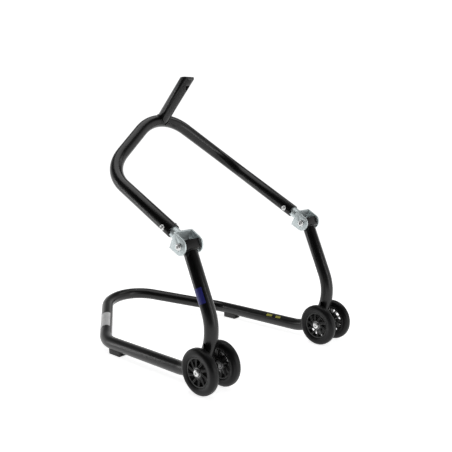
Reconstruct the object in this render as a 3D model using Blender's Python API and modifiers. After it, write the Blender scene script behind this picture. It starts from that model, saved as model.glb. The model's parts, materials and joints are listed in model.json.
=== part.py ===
"""Front head-lift paddock stand for a motorcycle, as separate solid pieces.

Two bent tube loops make the stand. The base loop runs down each upright, along the ground and round to
a raised handle. The upper loop sits on two telescopic stems, which fold on yokes at the tops of the
uprights. Its post ends in a level seat that takes the lifting pin. Each side rolls on two wheels on one axle bolt.

Metres, +Z up, +X across the stand, +Y from the wheels to the handle. The origin is on the ground, under
the centre of the stand's box.
"""

import math

import bmesh
import bpy
from mathutils import Matrix, Vector

# Tubes
TUBE_RADIUS = 0.01685
TUBE_WALL = 0.0026
GAP = 0.0003
SIDE_X = 0.2184
SIDES = (("left", -1), ("right", 1))

# Wheels and axles, measured from the middle of each tube
WHEEL_RADIUS = 0.055
TYRE_HALF_WIDTH = 0.012
WHEEL_OFFSET = 0.0343
CORE_RADIUS = 0.0355
HUB_RADIUS = 0.0140
HUB_HALF_WIDTH = 0.0090
BEARING_RADIUS = 0.0110
BEARING_WIDTH = 0.0070
BEARING_FACE = 0.0086
SPOKES = 10
AXLE_RADIUS = 0.0040
SLEEVE_HALF_LENGTH = 0.0140
WASHER_THICKNESS = 0.0012
HEAD_HEIGHT = 0.0050

# Base loop: places are (Y, Z) from the foot of the axle
LEG_Z = 0.0272
BASE_CORNER_Y = 0.4262
BASE_PEAK = (0.7308, 0.0920)
FOOT_BEND = 0.120
SPARE_HOLE_Z = 0.1110
SPARE_HOLE_RADIUS = 0.0055
BASE_CORNER_BEND = 0.105
BASE_PEAK_BEND = 0.110
FOOT_Y = 0.3720
FOOT_SIZE = (0.0240, 0.0480, 0.0200)

# Folding joint, and the stem's slope in the rest position
PIVOT = (0.0593, 0.3315)
UPRIGHT_LEAN = math.radians(22.0)
STEM_SLOPE = math.radians(28.4)
PIVOT_BOLT_RADIUS = 0.0050
HEAD_HALF_WIDTH = 0.0231
HEAD_BOTTOM = -0.0124
HEAD_TOP = 0.0101
HEAD_FRONT = 0.0150
PLATE = 0.0040
EAR_RADIUS = 0.0205
YOKE_HALF_WIDTH = 0.0274
YOKE_BACK = 0.0300
YOKE_HALF_HEIGHT = 0.0215

# Telescopic stems
STEM_RADIUS = 0.01345
STEM_BORE = 0.01085
STEM_END = 0.1800
TUBE_MOUTH = 0.0575
CLAMP_AT = 0.0785
CLAMP_RADIUS = 0.0040
SLOT_RADIUS = 0.0045
SLOT_ENDS = (0.0570, 0.1500)

# Upper loop
UPPER_CORNER_Y = 0.3599
UPPER_PEAK = (0.4164, 0.6557)
UPPER_CORNER_BEND = 0.125
UPPER_PEAK_BEND = 0.130
POST_LENGTH = 0.1670
POST_SLOPE = math.radians(42.3)
POST_BORE = 0.0125
POST_PLUG = 0.0450
POST_SEAT_Z = 0.7325
PIN_HOLE = 0.0080
PIN_FROM_END = 0.0150

TUBE_FACETS = 5
TURN_STEPS = 16
WHEEL_STEPS = 24
BEND_STEP = math.radians(18.0)

UP_THE_STEM = Vector((0, math.cos(STEM_SLOPE), math.sin(STEM_SLOPE)))
ACROSS_THE_STEM = Vector((0, -math.sin(STEM_SLOPE), math.cos(STEM_SLOPE)))
UP_THE_UPRIGHT = Vector((0, math.sin(UPRIGHT_LEAN), math.cos(UPRIGHT_LEAN)))
FRONT_OF_UPRIGHT = Vector((0, -math.cos(UPRIGHT_LEAN), math.sin(UPRIGHT_LEAN)))
POST_DIRECTION = Vector((0, -math.cos(POST_SLOPE), math.sin(POST_SLOPE)))


def peak_centre(corner, peak, bend):
    """Where the middle of a rounded peak lies, from its leg corner, its sharp peak and its radius."""
    half = Vector((peak[0] - corner[0], peak[1] - corner[1]))
    run = Vector((SIDE_X, half.x, half.y)).normalized()
    half_turn = math.acos(run.x)
    sink = bend * (1 / math.cos(half_turn) - 1)
    return Vector(peak) - half.normalized() * sink


FOOT_CORNER_Y = PIVOT[0] - (PIVOT[1] - LEG_Z) * math.tan(UPRIGHT_LEAN)
FOOT_BEND_Y = FOOT_CORNER_Y + FOOT_BEND * math.tan(math.radians(45) + UPRIGHT_LEAN / 2)
FOOT_BEND_Z = LEG_Z + FOOT_BEND
SPARE_HOLE_Y = FOOT_BEND_Y - math.sqrt(FOOT_BEND**2 - (FOOT_BEND_Z - SPARE_HOLE_Z) ** 2)
AXLE_TO_BEND = math.hypot(FOOT_BEND_Y, FOOT_BEND_Z - WHEEL_RADIUS)
SLEEVE_RADIUS = AXLE_TO_BEND - FOOT_BEND - TUBE_RADIUS - GAP
UPPER_CORNER_Z = PIVOT[1] + (UPPER_CORNER_Y - PIVOT[0]) * math.tan(STEM_SLOPE)
BASE_PEAK_MIDDLE = peak_centre((BASE_CORNER_Y, LEG_Z), BASE_PEAK, BASE_PEAK_BEND)
UPPER_PEAK_MIDDLE = peak_centre((UPPER_CORNER_Y, UPPER_CORNER_Z), UPPER_PEAK, UPPER_PEAK_BEND)
AXLE_Y = -(BASE_PEAK_MIDDLE.x + TUBE_RADIUS - WHEEL_RADIUS) / 2


def place(across, along, up):
    """A world point from a place measured from the foot of the axle."""
    return Vector((across, AXLE_Y + along, up))


def clear_scene():
    for old in list(bpy.data.objects):
        bpy.data.objects.remove(old, do_unlink=True)


def new_collection(name, hidden=False):
    collection = bpy.data.collections.new(name)
    collection.hide_render = hidden
    bpy.context.scene.collection.children.link(collection)
    return collection


def new_material(name, colour, roughness, metallic):
    made = bpy.data.materials.new(name)
    made.use_nodes = True
    shader = made.node_tree.nodes["Principled BSDF"]
    shader.inputs["Base Color"].default_value = (*colour, 1.0)
    shader.inputs["Roughness"].default_value = roughness
    shader.inputs["Metallic"].default_value = metallic
    made.diffuse_color = (*colour, 1.0)
    return made


class Workshop:
    """The scene's two collections, its materials and the ways that a piece is made."""

    def __init__(self):
        self.parts = new_collection("paddock_stand")
        self.cutters = new_collection("cutters", hidden=True)
        self.black_paint = new_material("black_powder_coat", (0.020, 0.020, 0.022), 0.35, 0.0)
        self.zinc = new_material("zinc_plate", (0.72, 0.75, 0.76), 0.32, 1.0)
        self.tyre = new_material("black_tyre", (0.030, 0.030, 0.032), 0.55, 0.0)
        self.core = new_material("black_core", (0.012, 0.012, 0.012), 0.22, 0.0)
        self.rubber = new_material("black_rubber", (0.035, 0.035, 0.035), 0.75, 0.0)
        self.steel = new_material("bright_steel", (0.62, 0.62, 0.63), 0.25, 1.0)

    def finish(self, name, mesh, material, at=None, parent=None):
        """A visible, smooth-shaded piece of the stand."""
        piece = bpy.data.objects.new(name, mesh)
        self.parts.objects.link(piece)
        if at is not None:
            piece.matrix_world = at
        mesh.materials.clear()
        mesh.materials.append(material)
        mesh.shade_smooth()
        mesh.set_sharp_from_angle(angle=math.radians(35))
        if parent is not None:
            adopt(parent, piece)
        return piece

    def cutter(self, name, mesh, at=None):
        tool = bpy.data.objects.new(name, mesh)
        self.cutters.objects.link(tool)
        tool.hide_render = True
        tool.display_type = "WIRE"
        if at is not None:
            tool.matrix_world = at
        return tool

    def cut(self, piece, tool):
        boolean = piece.modifiers.new("cut_" + tool.name, "BOOLEAN")
        boolean.operation = "DIFFERENCE"
        boolean.solver = "EXACT"
        boolean.object = tool

    def axis(self, name, at):
        """An empty on a joint's axis."""
        empty = bpy.data.objects.new(name, None)
        empty.empty_display_size = 0.02
        self.parts.objects.link(empty)
        empty.matrix_world = Matrix.Translation(at)
        return empty


def adopt(parent, child):
    """Parents an object and keeps it where it is."""
    bpy.context.view_layer.update()
    world = child.matrix_world.copy()
    child.parent = parent
    child.matrix_parent_inverse = parent.matrix_world.inverted()
    child.matrix_world = world


def curve_mesh(curve):
    """The welded mesh that a curve makes."""
    holder = bpy.data.objects.new("holder", curve)
    bpy.context.scene.collection.objects.link(holder)
    graph = bpy.context.evaluated_depsgraph_get()
    mesh = bpy.data.meshes.new_from_object(holder.evaluated_get(graph))
    bpy.data.objects.remove(holder)
    shape = bmesh.new()
    shape.from_mesh(mesh)
    bmesh.ops.remove_doubles(shape, verts=shape.verts, dist=0.000001)
    bmesh.ops.recalc_face_normals(shape, faces=shape.faces)
    shape.to_mesh(mesh)
    shape.free()
    return mesh


def tube_mesh(points, radius, capped):
    """A round tube's outer surface along a run of points."""
    curve = bpy.data.curves.new("run", "CURVE")
    curve.dimensions = "3D"
    curve.bevel_depth = radius
    curve.bevel_resolution = TUBE_FACETS
    curve.use_fill_caps = capped
    spline = curve.splines.new("POLY")
    spline.points.add(len(points) - 1)
    for knot, point in zip(spline.points, points):
        knot.co = (*point, 1.0)
    return curve_mesh(curve)


def prism_mesh(outline, half_width):
    """A flat (Y, Z) outline, extruded across the stand to both sides of X = 0."""
    curve = bpy.data.curves.new("outline", "CURVE")
    curve.dimensions = "2D"
    curve.fill_mode = "BOTH"
    curve.extrude = half_width
    spline = curve.splines.new("POLY")
    spline.points.add(len(outline) - 1)
    for knot, (along, up) in zip(spline.points, outline):
        knot.co = (along, up, 0.0, 1.0)
    spline.use_cyclic_u = True
    mesh = curve_mesh(curve)
    mesh.transform(Matrix(((0, 0, 1, 0), (1, 0, 0, 0), (0, 1, 0, 0), (0, 0, 0, 1))))
    return mesh


def turned_mesh(profile, closed, steps=TURN_STEPS):
    """A solid turned about the X axis from (x, radius) points that run down from +X on the outside."""
    mesh = bpy.data.meshes.new("profile")
    points = [(radius, 0.0, x) for x, radius in profile]
    edges = [(index, index + 1) for index in range(len(points) - 1)]
    if closed:
        edges.append((len(points) - 1, 0))
    mesh.from_pydata(points, edges, [])
    holder = bpy.data.objects.new("holder", mesh)
    bpy.context.scene.collection.objects.link(holder)
    screw = holder.modifiers.new("turn", "SCREW")
    screw.steps = steps
    screw.render_steps = steps
    screw.use_merge_vertices = True
    screw.merge_threshold = 0.00001
    graph = bpy.context.evaluated_depsgraph_get()
    turned = bpy.data.meshes.new_from_object(holder.evaluated_get(graph))
    bpy.data.objects.remove(holder)
    turned.transform(Matrix.Rotation(math.pi / 2, 4, "Y"))
    return turned


def ring_mesh(start, end, outer, inner, steps=TURN_STEPS):
    """A plain ring or sleeve about X, from start to end."""
    return turned_mesh([(end, outer), (start, outer), (start, inner), (end, inner)], True, steps)


def along_axis(at, direction):
    """A frame at a point whose X axis points in a direction."""
    return Matrix.Translation(at) @ direction.to_track_quat("X", "Z").to_matrix().to_4x4()


def rod_mesh(start, end, radius, steps=TURN_STEPS):
    return turned_mesh([(end, 0.0), (end, radius), (start, radius), (start, 0.0)], False, steps)


def filleted_path(corners):
    """Points along straight runs whose corners are arcs. Each corner is (point, bend radius)."""
    points = [corners[0][0]]
    for index in range(1, len(corners) - 1):
        corner, bend = corners[index]
        back = (corners[index - 1][0] - corner).normalized()
        ahead = (corners[index + 1][0] - corner).normalized()
        half_turn = (math.pi - back.angle(ahead)) / 2
        centre = corner + (back + ahead).normalized() * bend / math.cos(half_turn)
        start = corner + back * bend * math.tan(half_turn) - centre
        count = max(2, round(2 * half_turn / BEND_STEP))
        turn_axis = back.cross(start)
        for step in range(count + 1):
            turn = Matrix.Rotation(2 * half_turn * step / count, 3, turn_axis)
            points.append(centre + turn @ start)
    points.append(corners[-1][0])
    return points


def base_path():
    """The base loop's centre line, from the top of the left upright to the top of the right one."""
    pivot = place(0, *PIVOT)
    top = pivot + UP_THE_UPRIGHT * (HEAD_BOTTOM - GAP)
    foot = place(0, FOOT_CORNER_Y, LEG_Z)
    corner = place(0, BASE_CORNER_Y, LEG_Z)
    half = [(top, 0.0), (foot, FOOT_BEND), (corner, BASE_CORNER_BEND)]
    return both_sides(half, (place(0, *BASE_PEAK), BASE_PEAK_BEND))


def upper_path():
    """The upper loop's centre line, from the left mouth to the right mouth."""
    mouth = place(0, *PIVOT) + UP_THE_STEM * TUBE_MOUTH
    corner = place(0, UPPER_CORNER_Y, UPPER_CORNER_Z)
    return both_sides([(mouth, 0.0), (corner, UPPER_CORNER_BEND)], (place(0, *UPPER_PEAK), UPPER_PEAK_BEND))


def both_sides(half, peak):
    """A whole loop from its half at X = 0, moved out to the left and, in reverse, to the right."""
    offset = Vector((SIDE_X, 0, 0))
    left = [(point - offset, bend) for point, bend in half]
    right = [(point + offset, bend) for point, bend in reversed(half)]
    return filleted_path([*left, peak, *right])


def hollow_tube(shop, name, points):
    """A bent tube with its real wall and open ends."""
    tube = shop.finish(name, tube_mesh(points, TUBE_RADIUS, capped=False), shop.black_paint)
    wall = tube.modifiers.new("wall", "SOLIDIFY")
    wall.thickness = TUBE_WALL
    wall.offset = -1.0
    return tube


def bolt_profile(head_face, head_radius, head_height, shank_radius, end):
    """A button-head bolt's outline: its head points to -X, and its underside is at head_face."""
    crown = head_face - head_height
    profile = [(end, 0.0), (end, shank_radius), (head_face, shank_radius), (head_face, head_radius)]
    profile.append((crown + 0.4 * head_height, head_radius))
    profile.append((crown, 0.60 * head_radius))
    profile.append((crown, 0.0))
    return profile


def hex_nut_mesh(start, end, across_flats, bore):
    """A six-sided nut about X, whose six-sided bore clears a round thread."""
    corner = across_flats / math.sqrt(3)
    clear_bore = bore / math.cos(math.pi / 6)
    return ring_mesh(start, end, corner, clear_bore, 6)


def build_base_tube(shop):
    """The base loop, with a spare axle hole through each upright, over the axle."""
    tube = hollow_tube(shop, "base_tube", base_path())
    for side, sign in SIDES:
        at = Matrix.Translation(place(sign * SIDE_X, SPARE_HOLE_Y, SPARE_HOLE_Z))
        hole = rod_mesh(-0.03, 0.03, SPARE_HOLE_RADIUS)
        shop.cut(tube, shop.cutter(f"spare_hole_{side}", hole, at))


def build_feet(shop):
    """Rubber blocks under the legs, each with a saddle that takes the tube."""
    across, along, height = FOOT_SIZE
    saddle = shop.cutter("foot_saddle", tube_mesh(base_path(), TUBE_RADIUS + GAP, capped=True))
    for side, sign in SIDES:
        outline = [(-along / 2, 0.0), (along / 2, 0.0), (along / 2, height), (-along / 2, height)]
        at = Matrix.Translation(place(sign * SIDE_X, FOOT_Y, 0.0))
        foot = shop.finish(f"foot_{side}", prism_mesh(outline, across / 2), shop.rubber, at)
        shop.cut(foot, saddle)


def in_plane(along, up):
    """The (Y, Z) point at two distances along two directions."""
    point = along[0] * along[1] + up[0] * up[1]
    return (point.y, point.z)


def head_outline():
    """The head's side view about the pivot. Its rear edge is the stop that the yoke rests on."""
    stop_face = YOKE_BACK - PLATE - GAP
    outline = []
    outline.append(in_plane((HEAD_BOTTOM, UP_THE_UPRIGHT), (HEAD_FRONT, FRONT_OF_UPRIGHT)))
    outline.append(in_plane((HEAD_BOTTOM, UP_THE_UPRIGHT), (-TUBE_RADIUS, FRONT_OF_UPRIGHT)))
    outline.append(in_plane((stop_face, UP_THE_STEM), (-0.020, ACROSS_THE_STEM)))
    outline.append(in_plane((stop_face, UP_THE_STEM), (-0.008, ACROSS_THE_STEM)))
    outline.append(in_plane((HEAD_TOP, UP_THE_UPRIGHT), (HEAD_FRONT - PLATE, FRONT_OF_UPRIGHT)))
    outline.append(in_plane((HEAD_TOP, UP_THE_UPRIGHT), (HEAD_FRONT, FRONT_OF_UPRIGHT)))
    return outline


def build_heads(shop):
    """Channel brackets on the uprights: a front wall, a floor and two cheeks round the pivot bolt."""
    floor = HEAD_BOTTOM + PLATE
    inside = HEAD_FRONT - PLATE
    pocket = []
    for up, front in ((floor, inside), (floor, -0.06), (0.05, -0.06), (0.05, inside)):
        pocket.append(in_plane((up, UP_THE_UPRIGHT), (front, FRONT_OF_UPRIGHT)))
    for side, sign in SIDES:
        at = Matrix.Translation(place(sign * SIDE_X, *PIVOT))
        head = shop.finish(f"head_{side}", prism_mesh(head_outline(), HEAD_HALF_WIDTH), shop.black_paint, at)
        hollow = prism_mesh(pocket, HEAD_HALF_WIDTH - PLATE)
        shop.cut(head, shop.cutter(f"head_pocket_{side}", hollow, at))
        hole = rod_mesh(-0.04, 0.04, PIVOT_BOLT_RADIUS + GAP)
        shop.cut(head, shop.cutter(f"head_hole_{side}", hole, at))


def yoke_outline():
    """A yoke's ear about the pivot: a round nose that runs back to the plate."""
    outline = []
    for step in range(13):
        turn = math.radians(90 + 15 * step)
        along = EAR_RADIUS * math.cos(turn)
        up = EAR_RADIUS * math.sin(turn)
        outline.append(in_plane((along, UP_THE_STEM), (up, ACROSS_THE_STEM)))
    outline.append(in_plane((YOKE_BACK, UP_THE_STEM), (-YOKE_HALF_HEIGHT, ACROSS_THE_STEM)))
    outline.append(in_plane((YOKE_BACK, UP_THE_STEM), (YOKE_HALF_HEIGHT, ACROSS_THE_STEM)))
    return outline


def build_yokes(shop, fold):
    """Bent straps with two ears on the pivot bolt, and the slotted stems on their back plates."""
    pocket = []
    for along, up in ((-0.05, -0.05), (YOKE_BACK - PLATE, -0.05), (YOKE_BACK - PLATE, 0.05), (-0.05, 0.05)):
        pocket.append(in_plane((along, UP_THE_STEM), (up, ACROSS_THE_STEM)))
    slot = []
    for end, facing in zip(SLOT_ENDS, (90, -90)):
        for step in range(9):
            turn = math.radians(facing + 22.5 * step)
            along = end + SLOT_RADIUS * math.cos(turn)
            up = SLOT_RADIUS * math.sin(turn)
            slot.append(in_plane((along, UP_THE_STEM), (up, ACROSS_THE_STEM)))
    for side, sign in SIDES:
        pivot = place(sign * SIDE_X, *PIVOT)
        at = Matrix.Translation(pivot)
        yoke = shop.finish(f"yoke_{side}", prism_mesh(yoke_outline(), YOKE_HALF_WIDTH), shop.zinc, at, fold)
        hollow = prism_mesh(pocket, YOKE_HALF_WIDTH - PLATE)
        shop.cut(yoke, shop.cutter(f"yoke_pocket_{side}", hollow, at))
        hole = rod_mesh(-0.04, 0.04, PIVOT_BOLT_RADIUS + GAP)
        shop.cut(yoke, shop.cutter(f"yoke_hole_{side}", hole, at))
        stem_mesh = ring_mesh(YOKE_BACK + GAP, STEM_END, STEM_RADIUS, STEM_BORE)
        stem = shop.finish(f"stem_{side}", stem_mesh, shop.zinc, along_axis(pivot, UP_THE_STEM), fold)
        shop.cut(stem, shop.cutter(f"stem_slot_{side}", prism_mesh(slot, 0.03), at))


def build_pivot_bolts(shop):
    """A bolt, a spacer bush and a nut through each head."""
    seat = YOKE_HALF_WIDTH + GAP
    for side, sign in SIDES:
        at = Matrix.Translation(place(sign * SIDE_X, *PIVOT))
        profile = bolt_profile(-seat, 0.0085, 0.0055, PIVOT_BOLT_RADIUS, seat + 0.0095)
        shop.finish(f"pivot_bolt_{side}", turned_mesh(profile, False), shop.steel, at)
        bush_end = HEAD_HALF_WIDTH - PLATE - GAP
        bush = ring_mesh(-bush_end, bush_end, 0.0075, PIVOT_BOLT_RADIUS + GAP)
        shop.finish(f"pivot_bush_{side}", bush, shop.steel, at)
        nut = hex_nut_mesh(seat, seat + 0.0085, 0.0160, PIVOT_BOLT_RADIUS + GAP)
        shop.finish(f"pivot_nut_{side}", nut, shop.steel, at)


def build_clamp_bolts(shop, upper_tube, extension):
    """The bolts that clamp the upper loop at any place along the stems' slots."""
    seat = TUBE_RADIUS + GAP
    for side, sign in SIDES:
        centre = place(sign * SIDE_X, *PIVOT) + UP_THE_STEM * CLAMP_AT
        at = Matrix.Translation(centre)
        profile = bolt_profile(-seat, 0.0070, 0.0044, CLAMP_RADIUS, seat + 0.0080)
        shop.finish(f"clamp_bolt_{side}", turned_mesh(profile, False), shop.steel, at, extension)
        nut = hex_nut_mesh(seat, seat + 0.0070, 0.0130, CLAMP_RADIUS + GAP)
        shop.finish(f"clamp_nut_{side}", nut, shop.steel, at, extension)
        hole = rod_mesh(-0.03, 0.03, CLAMP_RADIUS + GAP)
        shop.cut(upper_tube, shop.cutter(f"clamp_hole_{side}", hole, at))


def build_post(shop, extension):
    """The post welded on the upper loop's peak: a tube with a plugged end.

    Its end is milled to a level seat, with an upright hole for the lifting pin.
    """
    foot = place(0, UPPER_PEAK_MIDDLE.x, UPPER_PEAK_MIDDLE.y)
    at = along_axis(foot, POST_DIRECTION)
    plug = POST_LENGTH - POST_PLUG
    profile = [(POST_LENGTH, 0.0), (POST_LENGTH, TUBE_RADIUS), (0.0, TUBE_RADIUS)]
    profile += [(0.0, POST_BORE), (plug, POST_BORE), (plug, 0.0)]
    post = shop.finish("head_post", turned_mesh(profile, False), shop.black_paint, at)
    adopt(extension, post)
    saddle = tube_mesh(upper_path(), TUBE_RADIUS + GAP, capped=True)
    shop.cut(post, shop.cutter("post_saddle", saddle))
    pin = foot + POST_DIRECTION * (POST_LENGTH - PIN_FROM_END)
    seat = Vector((0, pin.y, POST_SEAT_Z))
    block = [(-0.05, 0.0), (0.05, 0.0), (0.05, 0.05), (-0.05, 0.05)]
    shop.cut(post, shop.cutter("post_seat", prism_mesh(block, 0.03), Matrix.Translation(seat)))
    hole = rod_mesh(-0.05, 0.02, PIN_HOLE)
    shop.cut(post, shop.cutter("pin_hole", hole, along_axis(seat, Vector((0, 0, 1)))))


def tyre_mesh():
    """A round-shouldered tyre with a groove inside that holds the core's rim."""
    shoulder = WHEEL_RADIUS - TYRE_HALF_WIDTH
    outer = []
    for step in range(8):
        turn = math.pi * step / 7
        outer.append((TYRE_HALF_WIDTH * math.cos(turn), shoulder + TYRE_HALF_WIDTH * math.sin(turn)))
    bead = CORE_RADIUS + GAP
    inner = [(-TYRE_HALF_WIDTH + 0.003, bead), (TYRE_HALF_WIDTH - 0.003, bead)]
    return turned_mesh(outer + inner, True, WHEEL_STEPS)


def core_mesh(shop, name):
    """A spoked core: a rim, a hub with two bearing seats, and straight spokes between them."""
    rim_half = 0.0080
    rim_inner = 0.0320
    seat = BEARING_RADIUS + GAP
    shoulder = BEARING_FACE - BEARING_WIDTH - GAP
    rim = ring_mesh(-rim_half, rim_half, CORE_RADIUS, rim_inner, WHEEL_STEPS)
    hub_profile = [(HUB_HALF_WIDTH, HUB_RADIUS), (-HUB_HALF_WIDTH, HUB_RADIUS), (-HUB_HALF_WIDTH, seat)]
    hub_profile += [(-shoulder, seat), (-shoulder, 0.0085), (shoulder, 0.0085)]
    hub_profile += [(shoulder, seat), (HUB_HALF_WIDTH, seat)]
    core = shop.cutter(f"{name}_rim", rim)
    hub = shop.cutter(f"{name}_hub", turned_mesh(hub_profile, True))
    join(core, hub)
    for index in range(SPOKES):
        outline = [(-0.0013, 0.0128), (0.0013, 0.0128), (0.0013, 0.0328), (-0.0013, 0.0328)]
        spoke = prism_mesh(outline, 0.0060)
        spoke.transform(Matrix.Rotation(2 * math.pi * index / SPOKES, 4, "X"))
        join(core, shop.cutter(f"{name}_spoke_{index}", spoke))
    bpy.context.view_layer.update()
    graph = bpy.context.evaluated_depsgraph_get()
    return bpy.data.meshes.new_from_object(core.evaluated_get(graph))


def join(piece, other):
    union = piece.modifiers.new("join", "BOOLEAN")
    union.operation = "UNION"
    union.solver = "EXACT"
    union.object = other


def build_wheels(shop):
    """Four wheels, each with a tyre, a core, two bearings and the spacer between them."""
    core = core_mesh(shop, "core_template")
    tyre = tyre_mesh()
    bore = AXLE_RADIUS + GAP
    inner_face = BEARING_FACE - BEARING_WIDTH
    bearing = ring_mesh(inner_face, BEARING_FACE, BEARING_RADIUS, bore)
    spacer = ring_mesh(-inner_face + GAP, inner_face - GAP, 0.0058, bore)
    for side, sign in SIDES:
        for where, offset in (("outer", sign * WHEEL_OFFSET), ("inner", -sign * WHEEL_OFFSET)):
            name = f"{side}_{where}"
            centre = place(sign * SIDE_X + offset, 0.0, WHEEL_RADIUS)
            at = Matrix.Translation(centre)
            axis = shop.axis(f"wheel_axis_{name}", centre)
            shop.finish(f"tyre_{name}", tyre.copy(), shop.tyre, at, axis)
            shop.finish(f"core_{name}", core.copy(), shop.core, at, axis)
            shop.finish(f"bearing_spacer_{name}", spacer.copy(), shop.steel, at, axis)
            shop.finish(f"bearing_right_{name}", bearing.copy(), shop.steel, at, axis)
            turned_round = at @ Matrix.Rotation(math.pi, 4, "Z")
            shop.finish(f"bearing_left_{name}", bearing.copy(), shop.steel, turned_round, axis)


def build_axles(shop):
    """An axle bolt on each side, with its welded sleeve, spacers, washers and nut."""
    bore = AXLE_RADIUS + GAP
    washer_at = WHEEL_OFFSET + BEARING_FACE + GAP
    seat = washer_at + WASHER_THICKNESS + GAP
    spacer_start = SLEEVE_HALF_LENGTH + GAP
    spacer_end = WHEEL_OFFSET - BEARING_FACE - GAP
    for side, sign in SIDES:
        at = Matrix.Translation(place(sign * SIDE_X, 0.0, WHEEL_RADIUS))
        sleeve = ring_mesh(-SLEEVE_HALF_LENGTH, SLEEVE_HALF_LENGTH, SLEEVE_RADIUS, bore)
        shop.finish(f"axle_sleeve_{side}", sleeve, shop.black_paint, at)
        profile = bolt_profile(-seat, 0.0080, HEAD_HEIGHT, AXLE_RADIUS, seat + HEAD_HEIGHT)
        shop.finish(f"axle_bolt_{side}", turned_mesh(profile, False), shop.steel, at)
        nut = hex_nut_mesh(seat, seat + HEAD_HEIGHT, 0.0130, bore)
        shop.finish(f"axle_nut_{side}", nut, shop.steel, at)
        for end, start, stop in (("left", -spacer_end, -spacer_start), ("right", spacer_start, spacer_end)):
            spacer = ring_mesh(start, stop, 0.0080, bore)
            shop.finish(f"axle_spacer_{side}_{end}", spacer, shop.steel, at)
        for end, start in (("left", -washer_at - WASHER_THICKNESS), ("right", washer_at)):
            washer = ring_mesh(start, start + WASHER_THICKNESS, 0.0080, bore)
            shop.finish(f"axle_washer_{side}_{end}", washer, shop.steel, at)


def main():
    clear_scene()
    shop = Workshop()
    pivot = place(0, *PIVOT)
    fold = shop.axis("fold_axis", pivot)
    extension = shop.axis("extension_axis", pivot + UP_THE_STEM * TUBE_MOUTH)
    adopt(fold, extension)
    build_base_tube(shop)
    upper_tube = hollow_tube(shop, "upper_tube", upper_path())
    adopt(extension, upper_tube)
    build_feet(shop)
    build_heads(shop)
    build_yokes(shop, fold)
    build_pivot_bolts(shop)
    build_clamp_bolts(shop, upper_tube, extension)
    build_post(shop, extension)
    build_wheels(shop)
    build_axles(shop)


main()
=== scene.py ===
import json
import logging
import math
from dataclasses import dataclass, field
from enum import Enum
from typing import Callable, Sequence

import bmesh
import bpy
from mathutils import Matrix, Vector

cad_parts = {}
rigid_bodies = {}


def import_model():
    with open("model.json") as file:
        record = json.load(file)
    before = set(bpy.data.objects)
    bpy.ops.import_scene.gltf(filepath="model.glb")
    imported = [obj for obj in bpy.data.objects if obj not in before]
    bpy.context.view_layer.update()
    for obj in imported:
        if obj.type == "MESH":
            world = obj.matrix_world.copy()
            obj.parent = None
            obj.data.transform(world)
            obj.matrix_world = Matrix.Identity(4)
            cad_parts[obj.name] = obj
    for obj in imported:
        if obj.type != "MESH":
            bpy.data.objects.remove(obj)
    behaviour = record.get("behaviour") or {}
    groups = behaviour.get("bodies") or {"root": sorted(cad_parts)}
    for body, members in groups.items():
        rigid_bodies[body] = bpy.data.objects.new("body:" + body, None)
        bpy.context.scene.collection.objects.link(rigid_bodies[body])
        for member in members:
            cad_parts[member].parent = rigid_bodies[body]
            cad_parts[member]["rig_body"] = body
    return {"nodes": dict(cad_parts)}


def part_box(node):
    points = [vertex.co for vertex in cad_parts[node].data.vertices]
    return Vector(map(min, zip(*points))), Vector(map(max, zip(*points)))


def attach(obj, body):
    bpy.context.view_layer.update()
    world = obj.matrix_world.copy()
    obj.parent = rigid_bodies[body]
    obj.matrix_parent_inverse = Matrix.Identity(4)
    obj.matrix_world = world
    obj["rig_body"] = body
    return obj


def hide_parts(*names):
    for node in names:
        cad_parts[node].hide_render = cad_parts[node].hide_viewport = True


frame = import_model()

LOG = logging.getLogger("paddock_stand")
SMOOTH_ANGLE = math.radians(35)
SHARP_ANGLE = math.radians(40)
MERGE_DISTANCE = 0.000002
X_AXIS = Vector((1, 0, 0))

CLOUD_SPAN = (0.3, 0.7)
MOTTLE_DETAIL = 3.0
GRAIN_DETAIL = 2.0

Profile = Sequence[tuple[float, float]]
Corner = tuple[Vector, float]


class Side(Enum):
    """A side of the stand. The value is the sign of its X."""

    LEFT = -1
    RIGHT = 1

    @property
    def label(self) -> str:
        """The side's name in piece names."""
        return self.name.lower()


class Slot(Enum):
    """The record's material slots."""

    PAINT = "black_paint"
    ZINC = "zinc"
    TYRE = "tyre"
    CORE = "core"
    RUBBER = "foot_rubber"
    BEARING = "bearing_steel"
    FIXINGS = "fixings"


# --- Finishes ------------------------------------------------------------------------------------


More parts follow.
